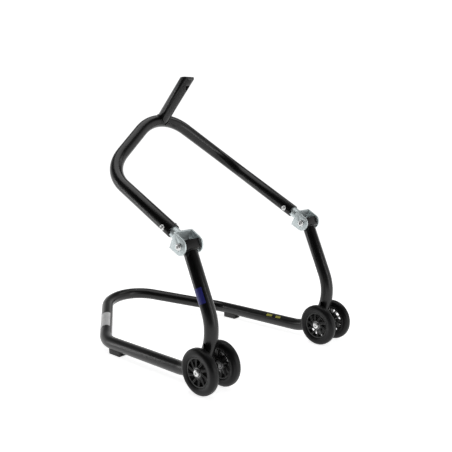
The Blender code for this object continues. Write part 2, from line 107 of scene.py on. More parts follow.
@dataclass(frozen=True)
class Finish:
    """A surface finish: one shader, its mottled colour, its uneven gloss and its fine relief.

    Attributes:
        name: the material's name.
        dark: the darker of the two colours that mottle the surface.
        light: the lighter of them.
        mottle: how many mottles there are to a metre.
        gloss: the lowest and highest roughness.
        relief: the height of the fine bumps, in metres.
        grain: how many of those bumps there are to a metre.
        metallic: 1 for bare or plated metal.
        coat: how much clear coat lies on it.
        coat_roughness: that coat's roughness.
        specular: the strength of its plain reflection.
    """

    name: str
    dark: tuple[float, float, float]
    light: tuple[float, float, float]
    mottle: float
    gloss: tuple[float, float]
    relief: float
    grain: float
    metallic: float = 0.0
    coat: float = 0.0
    coat_roughness: float = 0.1
    specular: float = 0.5

    def material(self) -> bpy.types.Material:
        """Builds the finish's node tree.

        Returns:
            The new material.
        """
        made = bpy.data.materials.new(self.name)
        made.use_nodes = True
        tree = made.node_tree
        shader = tree.nodes["Principled BSDF"]
        shader.inputs["Metallic"].default_value = self.metallic
        shader.inputs["Coat Weight"].default_value = self.coat
        shader.inputs["Coat Roughness"].default_value = self.coat_roughness
        shader.inputs["Specular IOR Level"].default_value = self.specular
        place = tree.nodes.new("ShaderNodeTexCoord").outputs["Object"]
        cloud = self.noise(tree, place, self.mottle, MOTTLE_DETAIL)
        tree.links.new(self.two_colours(tree, cloud), shader.inputs["Base Color"])
        tree.links.new(self.spread(tree, cloud, *self.gloss), shader.inputs["Roughness"])
        bump = tree.nodes.new("ShaderNodeBump")
        bump.inputs["Distance"].default_value = self.relief
        bump.inputs["Strength"].default_value = 1.0
        tree.links.new(self.height(tree, place), bump.inputs["Height"])
        tree.links.new(bump.outputs["Normal"], shader.inputs["Normal"])
        return made

    def height(self, tree: bpy.types.NodeTree, place: bpy.types.NodeSocket) -> bpy.types.NodeSocket:
        """The height pattern that the relief follows.

        Args:
            tree: the material's nodes.
            place: the place on the piece.

        Returns:
            The pattern's socket.
        """
        return self.noise(tree, place, self.grain, GRAIN_DETAIL)

    def noise(
        self, tree: bpy.types.NodeTree, place: bpy.types.NodeSocket, scale: float, detail: float
    ) -> bpy.types.NodeSocket:
        """A cloudy pattern.

        Args:
            tree: the material's nodes.
            place: the place on the piece.
            scale: clouds to a metre.
            detail: octaves of finer clouds.

        Returns:
            The pattern's socket.
        """
        cloud = tree.nodes.new("ShaderNodeTexNoise")
        cloud.inputs["Scale"].default_value = scale
        cloud.inputs["Detail"].default_value = detail
        tree.links.new(place, cloud.inputs["Vector"])
        return cloud.outputs["Fac"]

    def two_colours(
        self, tree: bpy.types.NodeTree, pattern: bpy.types.NodeSocket
    ) -> bpy.types.NodeSocket:
        """Runs from the dark colour to the light one along a pattern.

        Args:
            tree: the material's nodes.
            pattern: the pattern that it follows.

        Returns:
            The colour's socket.
        """
        ramp = tree.nodes.new("ShaderNodeValToRGB")
        ends = ramp.color_ramp.elements
        ends[0].position, ends[1].position = CLOUD_SPAN
        ends[0].color, ends[1].color = (*self.dark, 1.0), (*self.light, 1.0)
        tree.links.new(pattern, ramp.inputs["Fac"])
        return ramp.outputs["Color"]

    def spread(
        self, tree: bpy.types.NodeTree, pattern: bpy.types.NodeSocket, low: float, high: float
    ) -> bpy.types.NodeSocket:
        """Spreads a pattern between two values.

        Args:
            tree: the material's nodes.
            pattern: the pattern that it follows.
            low: the value where the pattern is weak.
            high: the value where it is strong.

        Returns:
            The value's socket.
        """
        remap = tree.nodes.new("ShaderNodeMapRange")
        remap.inputs["From Min"].default_value = CLOUD_SPAN[0]
        remap.inputs["From Max"].default_value = CLOUD_SPAN[1]
        remap.inputs["To Min"].default_value = low
        remap.inputs["To Max"].default_value = high
        tree.links.new(pattern, remap.inputs["Value"])
        return remap.outputs["Result"]


@dataclass(frozen=True)
class TurnedMetal(Finish):
    """A metal finish that keeps the fine rings of the lathe about X.

    Attributes:
        rings: how many tool marks there are to a metre.
    """

    rings: float = 900.0

    def height(self, tree: bpy.types.NodeTree, place: bpy.types.NodeSocket) -> bpy.types.NodeSocket:
        """Fine bands across X, broken by noise.

        Args:
            tree: the material's nodes.
            place: the place on the piece.

        Returns:
            The pattern's socket.
        """
        bands = tree.nodes.new("ShaderNodeTexWave")
        bands.wave_type = "BANDS"
        bands.bands_direction = "X"
        bands.inputs["Scale"].default_value = self.rings
        bands.inputs["Distortion"].default_value = 2.0
        bands.inputs["Detail"].default_value = 1.0
        tree.links.new(place, bands.inputs["Vector"])
        return bands.outputs["Fac"]


POWDER_COAT = Finish(
    "black_powder_coat",
    dark=(0.0042, 0.0042, 0.0044),
    light=(0.0075, 0.0072, 0.0072),
    mottle=14.0,
    gloss=(0.26, 0.34),
    relief=0.0000008,
    grain=380.0,
    coat=0.25,
    coat_roughness=0.20,
    specular=0.26,
)
ZINC_PLATE = Finish(
    "zinc_plate",
    dark=(0.60, 0.67, 0.68),
    light=(0.69, 0.75, 0.755),
    mottle=60.0,
    gloss=(0.36, 0.46),
    relief=0.000003,
    grain=1500.0,
    metallic=0.55,
)
TYRE_RUBBER = Finish(
    "black_tyre",
    dark=(0.0040, 0.0040, 0.0043),
    light=(0.0070, 0.0070, 0.0074),
    mottle=45.0,
    gloss=(0.34, 0.44),
    relief=0.000004,
    grain=1400.0,
    specular=0.22,
)
GLOSS_CORE = Finish(
    "black_gloss_core",
    dark=(0.0060, 0.0060, 0.0060),
    light=(0.0110, 0.0110, 0.0110),
    mottle=80.0,
    gloss=(0.22, 0.30),
    relief=0.000004,
    grain=900.0,
    specular=0.45,
)
BEARING_SEAL = Finish(
    "black_bearing_seal",
    dark=(0.006, 0.006, 0.006),
    light=(0.010, 0.010, 0.010),
    mottle=300.0,
    gloss=(0.45, 0.60),
    relief=0.00001,
    grain=2000.0,
    specular=0.3,
)
BLOCK_RUBBER = Finish(
    "black_block_rubber",
    dark=(0.016, 0.016, 0.016),
    light=(0.028, 0.027, 0.027),
    mottle=120.0,
    gloss=(0.60, 0.75),
    relief=0.00012,
    grain=1800.0,
)
PLATED_FIXING = TurnedMetal(
    "plated_fixing",
    dark=(0.72, 0.73, 0.73),
    light=(0.86, 0.86, 0.85),
    mottle=220.0,
    gloss=(0.28, 0.38),
    relief=0.000003,
    grain=900.0,
    metallic=0.75,
)
BEARING_STEEL = TurnedMetal(
    "bearing_steel",
    dark=(0.20, 0.20, 0.205),
    light=(0.30, 0.30, 0.305),
    mottle=300.0,
    gloss=(0.14, 0.24),
    relief=0.00001,
    grain=900.0,
    metallic=1.0,
)
WHITE_LABEL = Finish(
    "white_label",
    dark=(0.70, 0.70, 0.70),
    light=(0.84, 0.84, 0.84),
    mottle=70.0,
    gloss=(0.40, 0.50),
    relief=0.00004,
    grain=240.0,
)
BLUE_LABEL = Finish(
    "blue_label",
    dark=(0.012, 0.014, 0.130),
    light=(0.022, 0.025, 0.210),
    mottle=160.0,
    gloss=(0.35, 0.45),
    relief=0.00001,
    grain=240.0,
)
YELLOW_LABEL = Finish(
    "yellow_label",
    dark=(0.35, 0.36, 0.04),
    light=(0.62, 0.56, 0.08),
    mottle=220.0,
    gloss=(0.35, 0.45),
    relief=0.00001,
    grain=240.0,
)


class Palette:
    """Makes each finish's material once and hands it out."""

    def __init__(self) -> None:
        """Starts with no materials."""
        self.made: dict[str, bpy.types.Material] = {}

    def of(self, finish: Finish) -> bpy.types.Material:
        """The material of a finish.

        Args:
            finish: the finish wanted.

        Returns:
            Its material, made on first use.
        """
        if finish.name not in self.made:
            self.made[finish.name] = finish.material()
        return self.made[finish.name]


# --- Bench work ----------------------------------------------------------------------------------


def only(piece: bpy.types.Object) -> None:
    """Makes a piece the one selected, active object.

    Args:
        piece: the piece wanted.
    """
    bpy.ops.object.select_all(action="DESELECT")
    piece.select_set(True)
    bpy.context.view_layer.objects.active = piece


def edit(piece: bpy.types.Object) -> None:
    """Takes a piece into edit mode with all of it selected.

    Args:
        piece: the piece to shape.
    """
    only(piece)
    bpy.ops.object.mode_set(mode="EDIT")
    bpy.ops.mesh.select_mode(type="EDGE")
    bpy.ops.mesh.select_all(action="SELECT")


def leave() -> None:
    """Goes back to object mode."""
    bpy.ops.object.mode_set(mode="OBJECT")


def settle(piece: bpy.types.Object, at: Matrix | None = None) -> bpy.types.Object:
    """Puts a piece in place and moves that place into its mesh.

    Args:
        piece: a piece made about the origin.
        at: where it goes.

    Returns:
        The same piece.
    """
    if at is not None:
        piece.matrix_world = at
    only(piece)
    bpy.ops.object.transform_apply(location=True, rotation=True, scale=True)
    return piece


def named(name: str) -> bpy.types.Object:
    """Names the object that an operator has just added.

    Args:
        name: the name of the object and its mesh.

    Returns:
        The object.
    """
    piece = bpy.context.object
    piece.name = name
    piece.data.name = name
    return piece


def pick_edges(piece: bpy.types.Object, wanted: Callable[[Vector, Vector], bool]) -> None:
    """Selects edges in edit mode.

    Args:
        piece: the piece in edit mode.
        wanted: says whether an edge is wanted, from its middle and its direction.
    """
    bpy.ops.mesh.select_mode(type="EDGE")
    bpy.ops.mesh.select_all(action="DESELECT")
    shape = bmesh.from_edit_mesh(piece.data)
    for edge in shape.edges:
        first, last = (end.co for end in edge.verts)
        if wanted((first + last) / 2, (last - first).normalized()):
            edge.select_set(True)
    shape.select_flush_mode()
    bmesh.update_edit_mesh(piece.data)


def pick_faces(piece: bpy.types.Object, wanted: Callable[[Vector, Vector], bool]) -> None:
    """Selects faces in edit mode.

    Args:
        piece: the piece in edit mode.
        wanted: says whether a face is wanted, from its centre and its normal.
    """
    bpy.ops.mesh.select_mode(type="FACE")
    bpy.ops.mesh.select_all(action="DESELECT")
    shape = bmesh.from_edit_mesh(piece.data)
    for face in shape.faces:
        if wanted(face.calc_center_median(), face.normal):
            face.select_set(True)
    shape.select_flush_mode()
    bmesh.update_edit_mesh(piece.data)


def apply_modifier(piece: bpy.types.Object, kind: str, **settings: object) -> None:
    """Adds a modifier with its settings and applies it.

    Args:
        piece: the piece to change.
        kind: the modifier's type.
        settings: its settings.
    """
    only(piece)
    modifier = piece.modifiers.new(kind.lower(), kind)
    for key, value in settings.items():
        setattr(modifier, key, value)
    bpy.ops.object.modifier_apply(modifier=modifier.name)


def combine(piece: bpy.types.Object, tool: bpy.types.Object, how: str, keep: bool = False) -> None:
    """Cuts a piece with a tool, or joins the two.

    Args:
        piece: the piece to change.
        tool: the other solid.
        how: DIFFERENCE, UNION or INTERSECT.
        keep: whether the tool is used again.
    """
    apply_modifier(piece, "BOOLEAN", operation=how, solver="EXACT", object=tool)
    if not keep:
        bpy.data.objects.remove(tool)


def soften(piece: bpy.types.Object, width: float, segments: int = 2) -> None:
    """Rounds a piece's sharp edges with a bevel.

    Args:
        piece: the piece to change.
        width: the bevel's width.
        segments: how many steps it is cut into.
    """
    apply_modifier(
        piece,
        "BEVEL",
        width=width,
        segments=segments,
        limit_method="ANGLE",
        angle_limit=SHARP_ANGLE,
        use_clamp_overlap=True,
    )


def smooth(piece: bpy.types.Object) -> None:
    """Shades a piece smooth and keeps its real edges sharp."""
    only(piece)
    bpy.ops.object.shade_smooth_by_angle(angle=SMOOTH_ANGLE)


def tidy_shell() -> None:
    """In edit mode, merges doubled points and turns all faces outwards."""
    bpy.ops.mesh.select_all(action="SELECT")
    bpy.ops.mesh.remove_doubles(threshold=MERGE_DISTANCE)
    bpy.ops.mesh.normals_make_consistent(inside=False)


def box(name: str, low: Vector, high: Vector) -> bpy.types.Object:
    """A block between two corners, ready to be shaped.

    Args:
        name: the piece's name.
        low: its lowest corner.
        high: its highest corner.

    Returns:
        The block.
    """
    bpy.ops.mesh.primitive_cube_add(size=1.0, location=(low + high) / 2, scale=high - low)
    return settle(named(name))


def turn(name: str, profile: Profile, steps: int = 48, ring: bool = False) -> bpy.types.Object:
    """Turns a piece about the X axis, station by station.

    Args:
        name: the piece's name.
        profile: the (x, radius) stations in order.
        steps: how many faces go round it.
        ring: whether the last station meets the first one; otherwise both ends are capped.

    Returns:
        The turned piece.
    """
    place, radius = profile[0]
    bpy.ops.object.select_all(action="DESELECT")
    bpy.ops.mesh.primitive_circle_add(
        vertices=steps, radius=radius, location=(place, 0, 0), rotation=(0, math.pi / 2, 0)
    )
    piece = settle(named(name))
    edit(piece)
    stations = list(profile[1:]) + ([profile[0]] if ring else [])
    for next_place, next_radius in stations:
        shift = (next_place - place, 0, 0)
        bpy.ops.mesh.extrude_edges_move(TRANSFORM_OT_translate={"value": shift})
        grow = next_radius / radius
        centre = (next_place, 0, 0)
        bpy.ops.transform.resize(value=(1, grow, grow), center_override=centre)
        place, radius = next_place, next_radius
    tidy_shell()
    if not ring:
        bpy.ops.mesh.fill_holes(sides=0)
        bpy.ops.mesh.select_all(action="SELECT")
        bpy.ops.mesh.normals_make_consistent(inside=False)
    leave()
    return piece


def arc(
    centre: tuple[float, float], radius: float, start: float, end: float, steps: int
) -> list[tuple[float, float]]:
    """Stations on an arc of a profile.

    Args:
        centre: the arc's (x, radius) centre.
        radius: the arc's own radius.
        start: its first angle in degrees, from +x towards +radius.
        end: its last angle.
        steps: how many steps it is cut into.

    Returns:
        The stations, with both ends.
    """
    stations = []
    for step in range(steps + 1):
        angle = math.radians(start + (end - start) * step / steps)
        stations.append(
            (centre[0] + radius * math.cos(angle), centre[1] + radius * math.sin(angle))
        )
    return stations


def circle(radius: float, count: int) -> list[tuple[float, float]]:
    """Points round a circle about the origin.

    Args:
        radius: the circle's radius.
        count: how many points there are.

    Returns:
        The points' two places.
    """
    angles = [2 * math.pi * step / count for step in range(count)]
    return [(radius * math.cos(angle), radius * math.sin(angle)) for angle in angles]


def facing(at: Vector, direction: Vector) -> Matrix:
    """A frame at a point whose X axis points in a direction."""
    return Matrix.Translation(at) @ direction.to_track_quat("X", "Z").to_matrix().to_4x4()


def bent_tube(
    name: str, corners: Sequence[Corner], radius: float, steps: int, capped: bool = False
) -> bpy.types.Object:
    """Draws a round tube along straight runs and bends it at each corner, as a tube bender does.

    Args:
        name: the piece's name.
        corners: each corner's point and the bend radius there; the ends have no bend.
        radius: the tube's outer radius.
        steps: how many faces go round it.
        capped: whether the ends are closed.

    Returns:
        The tube's outer shell.
    """
    here = corners[0][0]
    ahead = (corners[1][0] - here).normalized()
    turned = ahead.to_track_quat("Z", "X").to_euler()
    bpy.ops.object.select_all(action="DESELECT")
    bpy.ops.mesh.primitive_circle_add(
        vertices=steps, radius=radius, location=here, rotation=turned
    )
    piece = settle(named(name))
    edit(piece)
    for index in range(1, len(corners) - 1):
        corner, bend = corners[index]
        back = (corners[index - 1][0] - corner).normalized()
        ahead = (corners[index + 1][0] - corner).normalized()
        half = (math.pi - back.angle(ahead)) / 2
        start = corner + back * bend * math.tan(half)
        centre = corner + (back + ahead).normalized() * bend / math.cos(half)
        run = start - here
        bpy.ops.mesh.extrude_edges_move(TRANSFORM_OT_translate={"value": run})
        bpy.ops.mesh.spin(
            steps=max(6, round(math.degrees(2 * half) / 4)),
            angle=-2 * half,
            center=centre,
            axis=back.cross(start - centre).normalized(),
        )
        here = corner + ahead * bend * math.tan(half)
    bpy.ops.mesh.extrude_edges_move(TRANSFORM_OT_translate={"value": corners[-1][0] - here})
    if capped:
        bpy.ops.mesh.select_all(action="SELECT")
        bpy.ops.mesh.fill_holes(sides=0)
    tidy_shell()
    leave()
    return piece


def twin(piece: bpy.types.Object, name: str, at: Matrix) -> bpy.types.Object:
    """Copies a piece with its own mesh and puts the copy in place.

    Args:
        piece: the pattern, made about the origin.
        name: the copy's name.
        at: where the copy goes.

    Returns:
        The copy.
    """
    only(piece)
    bpy.ops.object.duplicate(linked=False)
    return settle(named(name), at)


# --- The stand's own frame -----------------------------------------------------------------------


@dataclass(frozen=True)
class Layout:
    """Where the stand's main lines lie, in metres. Places along Y are measured from the axle.

    Attributes:
        axle_y: the axles' place along Y.
        side_x: the middle of each side's tubes.
        wheel_radius: the height of the axles over the ground.
        pivot: the fold's place.
        lean: how far each upright leans back.
        slope: how steeply the stems climb.
        tube: the outer radius of both bent loops.
        head_bottom: the underside of the uprights' brackets, along the upright from the pivot.
        clamp: how far up the stem the clamp bolt is.
        gap: the clearance between pieces.
    """

    axle_y: float
    side_x: float
    wheel_radius: float
    pivot: tuple[float, float] = (0.0593, 0.3315)
    lean: float = math.radians(22.0)
    slope: float = math.radians(28.4)
    tube: float = 0.01685
    head_bottom: float = -0.0124
    clamp: float = 0.0785
    gap: float = 0.0003

    def spot(self, across: float, along: float, up: float) -> Vector:
        """A world point from a place measured from the axle."""
        return Vector((across, self.axle_y + along, up))

    def pivot_of(self, side: Side) -> Vector:
        """The fold's axis in the middle of a side's tubes."""
        return self.spot(side.value * self.side_x, *self.pivot)

    def upright_frame(self, side: Side) -> Matrix:
        """A frame at the pivot, with Z up the upright and -Y to its front."""
        return Matrix.Translation(self.pivot_of(side)) @ Matrix.Rotation(-self.lean, 4, "X")

    def stem_frame(self, side: Side) -> Matrix:
        """A frame at the pivot, with Y up the stem and Z square to it."""
        return Matrix.Translation(self.pivot_of(side)) @ Matrix.Rotation(self.slope, 4, "X")

    @property
    def up_the_stem(self) -> Vector:
        """The stems' direction."""
        return Vector((0, math.cos(self.slope), math.sin(self.slope)))

    @property
    def up_the_upright(self) -> Vector:
        """The direction of the uprights' straight run."""
        return Vector((0, math.sin(self.lean), math.cos(self.lean)))


def layout_from_frame() -> Layout:
    """Reads the main lines from the fixed frame.

    Returns:
        The stand's layout.
    """
    low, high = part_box("axle_bolt_left")
    foot_low, foot_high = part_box("foot_right")
    return Layout(
        axle_y=(low.y + high.y) / 2,
        side_x=(foot_low.x + foot_high.x) / 2,
        wheel_radius=(low.z + high.z) / 2,
    )


@dataclass
class Assembly:
    """A sub-assembly of the stand, which hands its finished pieces over to the fixed frame.

    Attributes:
        layout: the stand's main lines.
        palette: the finishes' materials.
        count: how many pieces it has handed over.
    """

    layout: Layout
    palette: Palette
    count: int = field(default=0, init=False)

    def dress(
        self,
        piece: bpy.types.Object,
        finish: Finish,
        body: str,
        slot: Slot | None = None,
        nodes: Sequence[str] = (),
    ) -> bpy.types.Object:
        """Gives a finished piece its material, its body and the nodes that it stands for.

        Args:
            piece: the finished piece.
            finish: its finish.
            body: the body that it moves with.
            slot: the record's material slot; it is not used.
            nodes: the CAD nodes that it stands for.

        Returns:
            The same piece.
        """
        smooth(piece)
        piece.data.materials.clear()
        piece.data.materials.append(self.palette.of(finish))
        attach(piece, body)
        if nodes:
            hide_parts(*nodes)
        self.count += 1
        LOG.info("%s: %d faces, rides on %s", piece.name, len(piece.data.polygons), body)
        return piece

    def weld(self, name: str, points: Sequence[Vector], bead: float, body: str) -> bpy.types.Object:
        """Lays a rippled weld bead along a closed line.

        Args:
            name: the bead's name.
            points: the closed line that it follows.
            bead: the bead's radius.
            body: the body that it moves with.

        Returns:
            The finished bead.
        """
        curve = bpy.data.curves.new(name, "CURVE")
        curve.dimensions = "3D"
        curve.bevel_depth = bead
        curve.bevel_resolution = 3
        line = curve.splines.new("POLY")
        line.points.add(len(points) - 1)
        line.use_cyclic_u = True
        for index, (knot, point) in enumerate(zip(line.points, points)):
            knot.co = (*point, 1.0)
            knot.radius = (0.82, 1.0, 1.06, 0.96)[index % 4]
        piece = bpy.data.objects.new(name, curve)
        bpy.context.scene.collection.objects.link(piece)
        only(piece)
        bpy.ops.object.convert(target="MESH")
        piece = named(name)
        edit(piece)
        tidy_shell()
        leave()
        return self.dress(piece, POWDER_COAT, body, Slot.PAINT)


# --- Tubes ---------------------------------------------------------------------------------------


@dataclass
class TubeLoops(Assembly):
    """The two bent loops, their weld beads and their labels.

    Attributes:
        wall: the tubes' wall.
        facets: how many faces go round a tube.
        leg_z: the height of the base loop's legs.
        base_corner_y: where the legs turn up, along Y.
        base_peak: where the base loop's two halves would meet, along and up.
        base_bends: the bend radii at the foot, the leg's end and the peak.
        hole_z: the height of the spare axle hole.
        hole_radius: its radius.
        upper_corner_y: where the upper loop's arms turn up.
        upper_peak: where its two halves would meet.
        upper_bends: its bend radii at the corner and the peak.
        mouth: how far up the stem the upper loop's open end is.
        mouth_edge: how far the tubes' open ends are rounded.
        clamp_hole: the radius of the clamp bolts' holes.
        film: the thickness of a label.
        white_span: the white label's ends, as shares of the run from the corner to the peak.
        blue_bottom: the height of the blue label's lower end.
        blue_length: the blue label's length.
        yellow_spans: both ends of each yellow mark, along Y.
        bead: the radius of the weld bead round an upright.
    """

    wall: float = 0.0026
    facets: int = 48
    leg_z: float = 0.0272
    base_corner_y: float = 0.4262
    base_peak: tuple[float, float] = (0.7308, 0.0920)
    base_bends: tuple[float, float, float] = (0.120, 0.105, 0.110)
    hole_z: float = 0.1110
    hole_radius: float = 0.0055
    upper_corner_y: float = 0.3599
    upper_peak: tuple[float, float] = (0.4164, 0.6557)
    upper_bends: tuple[float, float] = (0.125, 0.130)
    mouth: float = 0.0575
    mouth_edge: float = 0.0006
    clamp_hole: float = 0.0043
    film: float = 0.00012
    white_span: tuple[float, float] = (0.165, 0.385)
    blue_bottom: float = 0.2045
    blue_length: float = 0.037
    yellow_spans: tuple[tuple[float, float], ...] = ((0.190, 0.211), (0.157, 0.175))
    bead: float = 0.0019

    @property
    def foot_y(self) -> float:
        """Where an upright's line would meet its leg's, along Y."""
        lay = self.layout
        return lay.pivot[0] - (lay.pivot[1] - self.leg_z) * math.tan(lay.lean)

    def both_sides(self, half: Sequence[Corner], peak: Corner) -> list[Corner]:
        """A whole loop from its half at X = 0.

        Args:
            half: the corners of one side, from the open end to the last corner.
            peak: the corner between the two sides.

        Returns:
            The loop's corners from left to right.
        """
        offset = X_AXIS * self.layout.side_x
        left = [(point - offset, bend) for point, bend in half]
        right = [(point + offset, bend) for point, bend in reversed(half)]
        return [*left, peak, *right]

    def base_corners(self) -> list[Corner]:
        """The base loop's corners, from the left upright's top to the right one's.

        Returns:
            Each corner's point and bend radius.
        """
        lay = self.layout
        foot_bend, corner_bend, peak_bend = self.base_bends
        top = lay.spot(0, *lay.pivot) + lay.up_the_upright * (lay.head_bottom - lay.gap)
        foot = lay.spot(0, self.foot_y, self.leg_z)
        corner = lay.spot(0, self.base_corner_y, self.leg_z)
        half = [(top, 0.0), (foot, foot_bend), (corner, corner_bend)]
        return self.both_sides(half, (lay.spot(0, *self.base_peak), peak_bend))

    def upper_corners(self) -> list[Corner]:
        """The upper loop's corners, from the left mouth to the right one.

        Returns:
            Each corner's point and bend radius.
        """
        lay = self.layout
        mouth = lay.spot(0, *lay.pivot) + lay.up_the_stem * self.mouth
        rise = (self.upper_corner_y - lay.pivot[0]) * math.tan(lay.slope)
        corner = lay.spot(0, self.upper_corner_y, lay.pivot[1] + rise)
        half = [(mouth, 0.0), (corner, self.upper_bends[0])]
        return self.both_sides(half, (lay.spot(0, *self.upper_peak), self.upper_bends[1]))

    def hollow(self, name: str, corners: Sequence[Corner]) -> bpy.types.Object:
        """A bent tube with its wall and rounded mouths.

        Args:
            name: the piece's name.
            corners: each corner's point and bend radius.

        Returns:
            The tube.
        """
        tube = bent_tube(name, corners, self.layout.tube, self.facets)
        apply_modifier(tube, "SOLIDIFY", thickness=self.wall, offset=-1.0)
        soften(tube, self.mouth_edge)
        return tube

    def drill(self, tube: bpy.types.Object, at: Vector, radius: float) -> None:
        """Drills a hole across the stand, right through a tube.

        Args:
            tube: the tube to drill.
            at: a point on the hole's axis, in the middle of the tube.
            radius: the hole's radius.
        """
        reach = 0.03
        bit = turn("bit", [(-reach, radius), (reach, radius)], 32)
        combine(tube, settle(bit, Matrix.Translation(at)), "DIFFERENCE")

    def build_base(self) -> bpy.types.Object:
        """The base loop, with its two spare axle holes.

        Returns:
            The finished loop.
        """
        tube = self.hollow("base_loop", self.base_corners())
        bend = self.base_bends[0]
        lay = self.layout
        centre_y = self.foot_y + bend * math.tan(math.radians(45) + lay.lean / 2)
        drop = self.leg_z + bend - self.hole_z
        hole_y = centre_y - math.sqrt(bend**2 - drop**2)
        for side in Side:
            at = lay.spot(side.value * lay.side_x, hole_y, self.hole_z)
            self.drill(tube, at, self.hole_radius)
        return self.dress(tube, POWDER_COAT, "base", Slot.PAINT, ["base_tube"])

    def build_upper(self) -> bpy.types.Object:
        """The upper loop, drilled for its clamp bolts.

        Returns:
            The finished loop.
        """
        tube = self.hollow("upper_loop", self.upper_corners())
        for side in Side:
            at = self.layout.pivot_of(side) + self.layout.up_the_stem * self.layout.clamp
            self.drill(tube, at, self.clamp_hole)
        return self.dress(tube, POWDER_COAT, "upper_frame", Slot.PAINT, ["upper_tube"])

    def wrap(
        self,
        name: str,
        ends: tuple[Vector, Vector],
        finish: Finish,
        towards: Vector,
        half_angle: float,
    ) -> bpy.types.Object:
        """A thin blank label on a straight run of the base loop.

        Args:
            name: the label's name.
            ends: the run's two ends on the tube's centre line.
            finish: the label's finish.
            towards: the side that it lies on.
            half_angle: how far it reaches round the tube to each side, in degrees.

        Returns:
            The finished label.
        """
        start, end = ends
        direction = (end - start).normalized()
        length = (end - start).length
        shell = self.layout.tube + self.film / 2
        label = bent_tube(name, [(Vector(), 0.0), (Vector((length, 0, 0)), 0.0)], shell, 72)
        settle(label, facing(start, direction))
        aim = (towards - direction * towards.dot(direction)).normalized()
        limit = math.cos(math.radians(half_angle))
        edit(label)
        pick_faces(label, lambda centre, normal: normal.dot(aim) < limit)
        bpy.ops.mesh.delete(type="FACE")
        leave()
        apply_modifier(label, "SOLIDIFY", thickness=self.film, offset=1.0)
        return self.dress(label, finish, "base")

    def build_labels(self) -> None:
        """The blank labels on the base loop."""
        lay = self.layout
        corner = lay.spot(-lay.side_x, self.base_corner_y, self.leg_z)
        peak = lay.spot(0, *self.base_peak)
        first, last = self.white_span
        ends = (corner.lerp(peak, first), corner.lerp(peak, last))
        outwards_and_up = Vector((-0.46, 0.52, 0.72))
        self.wrap("white_wrap_label", ends, WHITE_LABEL, outwards_and_up, 85.0)
        up = lay.up_the_upright
        low = lay.pivot_of(Side.LEFT) - up * ((lay.pivot[1] - self.blue_bottom) / up.z)
        high = low + up * self.blue_length
        outwards = Vector((-0.972, -0.234, 0.0))
        self.wrap("blue_patch_label", (low, high), BLUE_LABEL, outwards, 38.0)
        inwards_and_up = Vector((-0.62, 0, 0.78))
        for index, (first, last) in enumerate(self.yellow_spans):
            start = lay.spot(lay.side_x, first, self.leg_z)
            end = lay.spot(lay.side_x, last, self.leg_z)
            tick = f"yellow_mark_{index + 1}"
            self.wrap(tick, (start, end), YELLOW_LABEL, inwards_and_up, 14.0)

    def build_welds(self) -> None:
        """The beads where the uprights meet their head brackets."""
        lay = self.layout
        line = circle(lay.tube + 0.0004, 64)
        level = lay.head_bottom - 0.0008
        for side in Side:
            upright = lay.upright_frame(side)
            points = [upright @ Vector((across, along, level)) for across, along in line]
            self.weld(f"head_weld_{side.label}", points, self.bead, "base")

    def build(self) -> None:
        """Builds both loops with all that is on them."""
        self.build_base()
        self.build_upper()
        self.build_labels()
        self.build_welds()


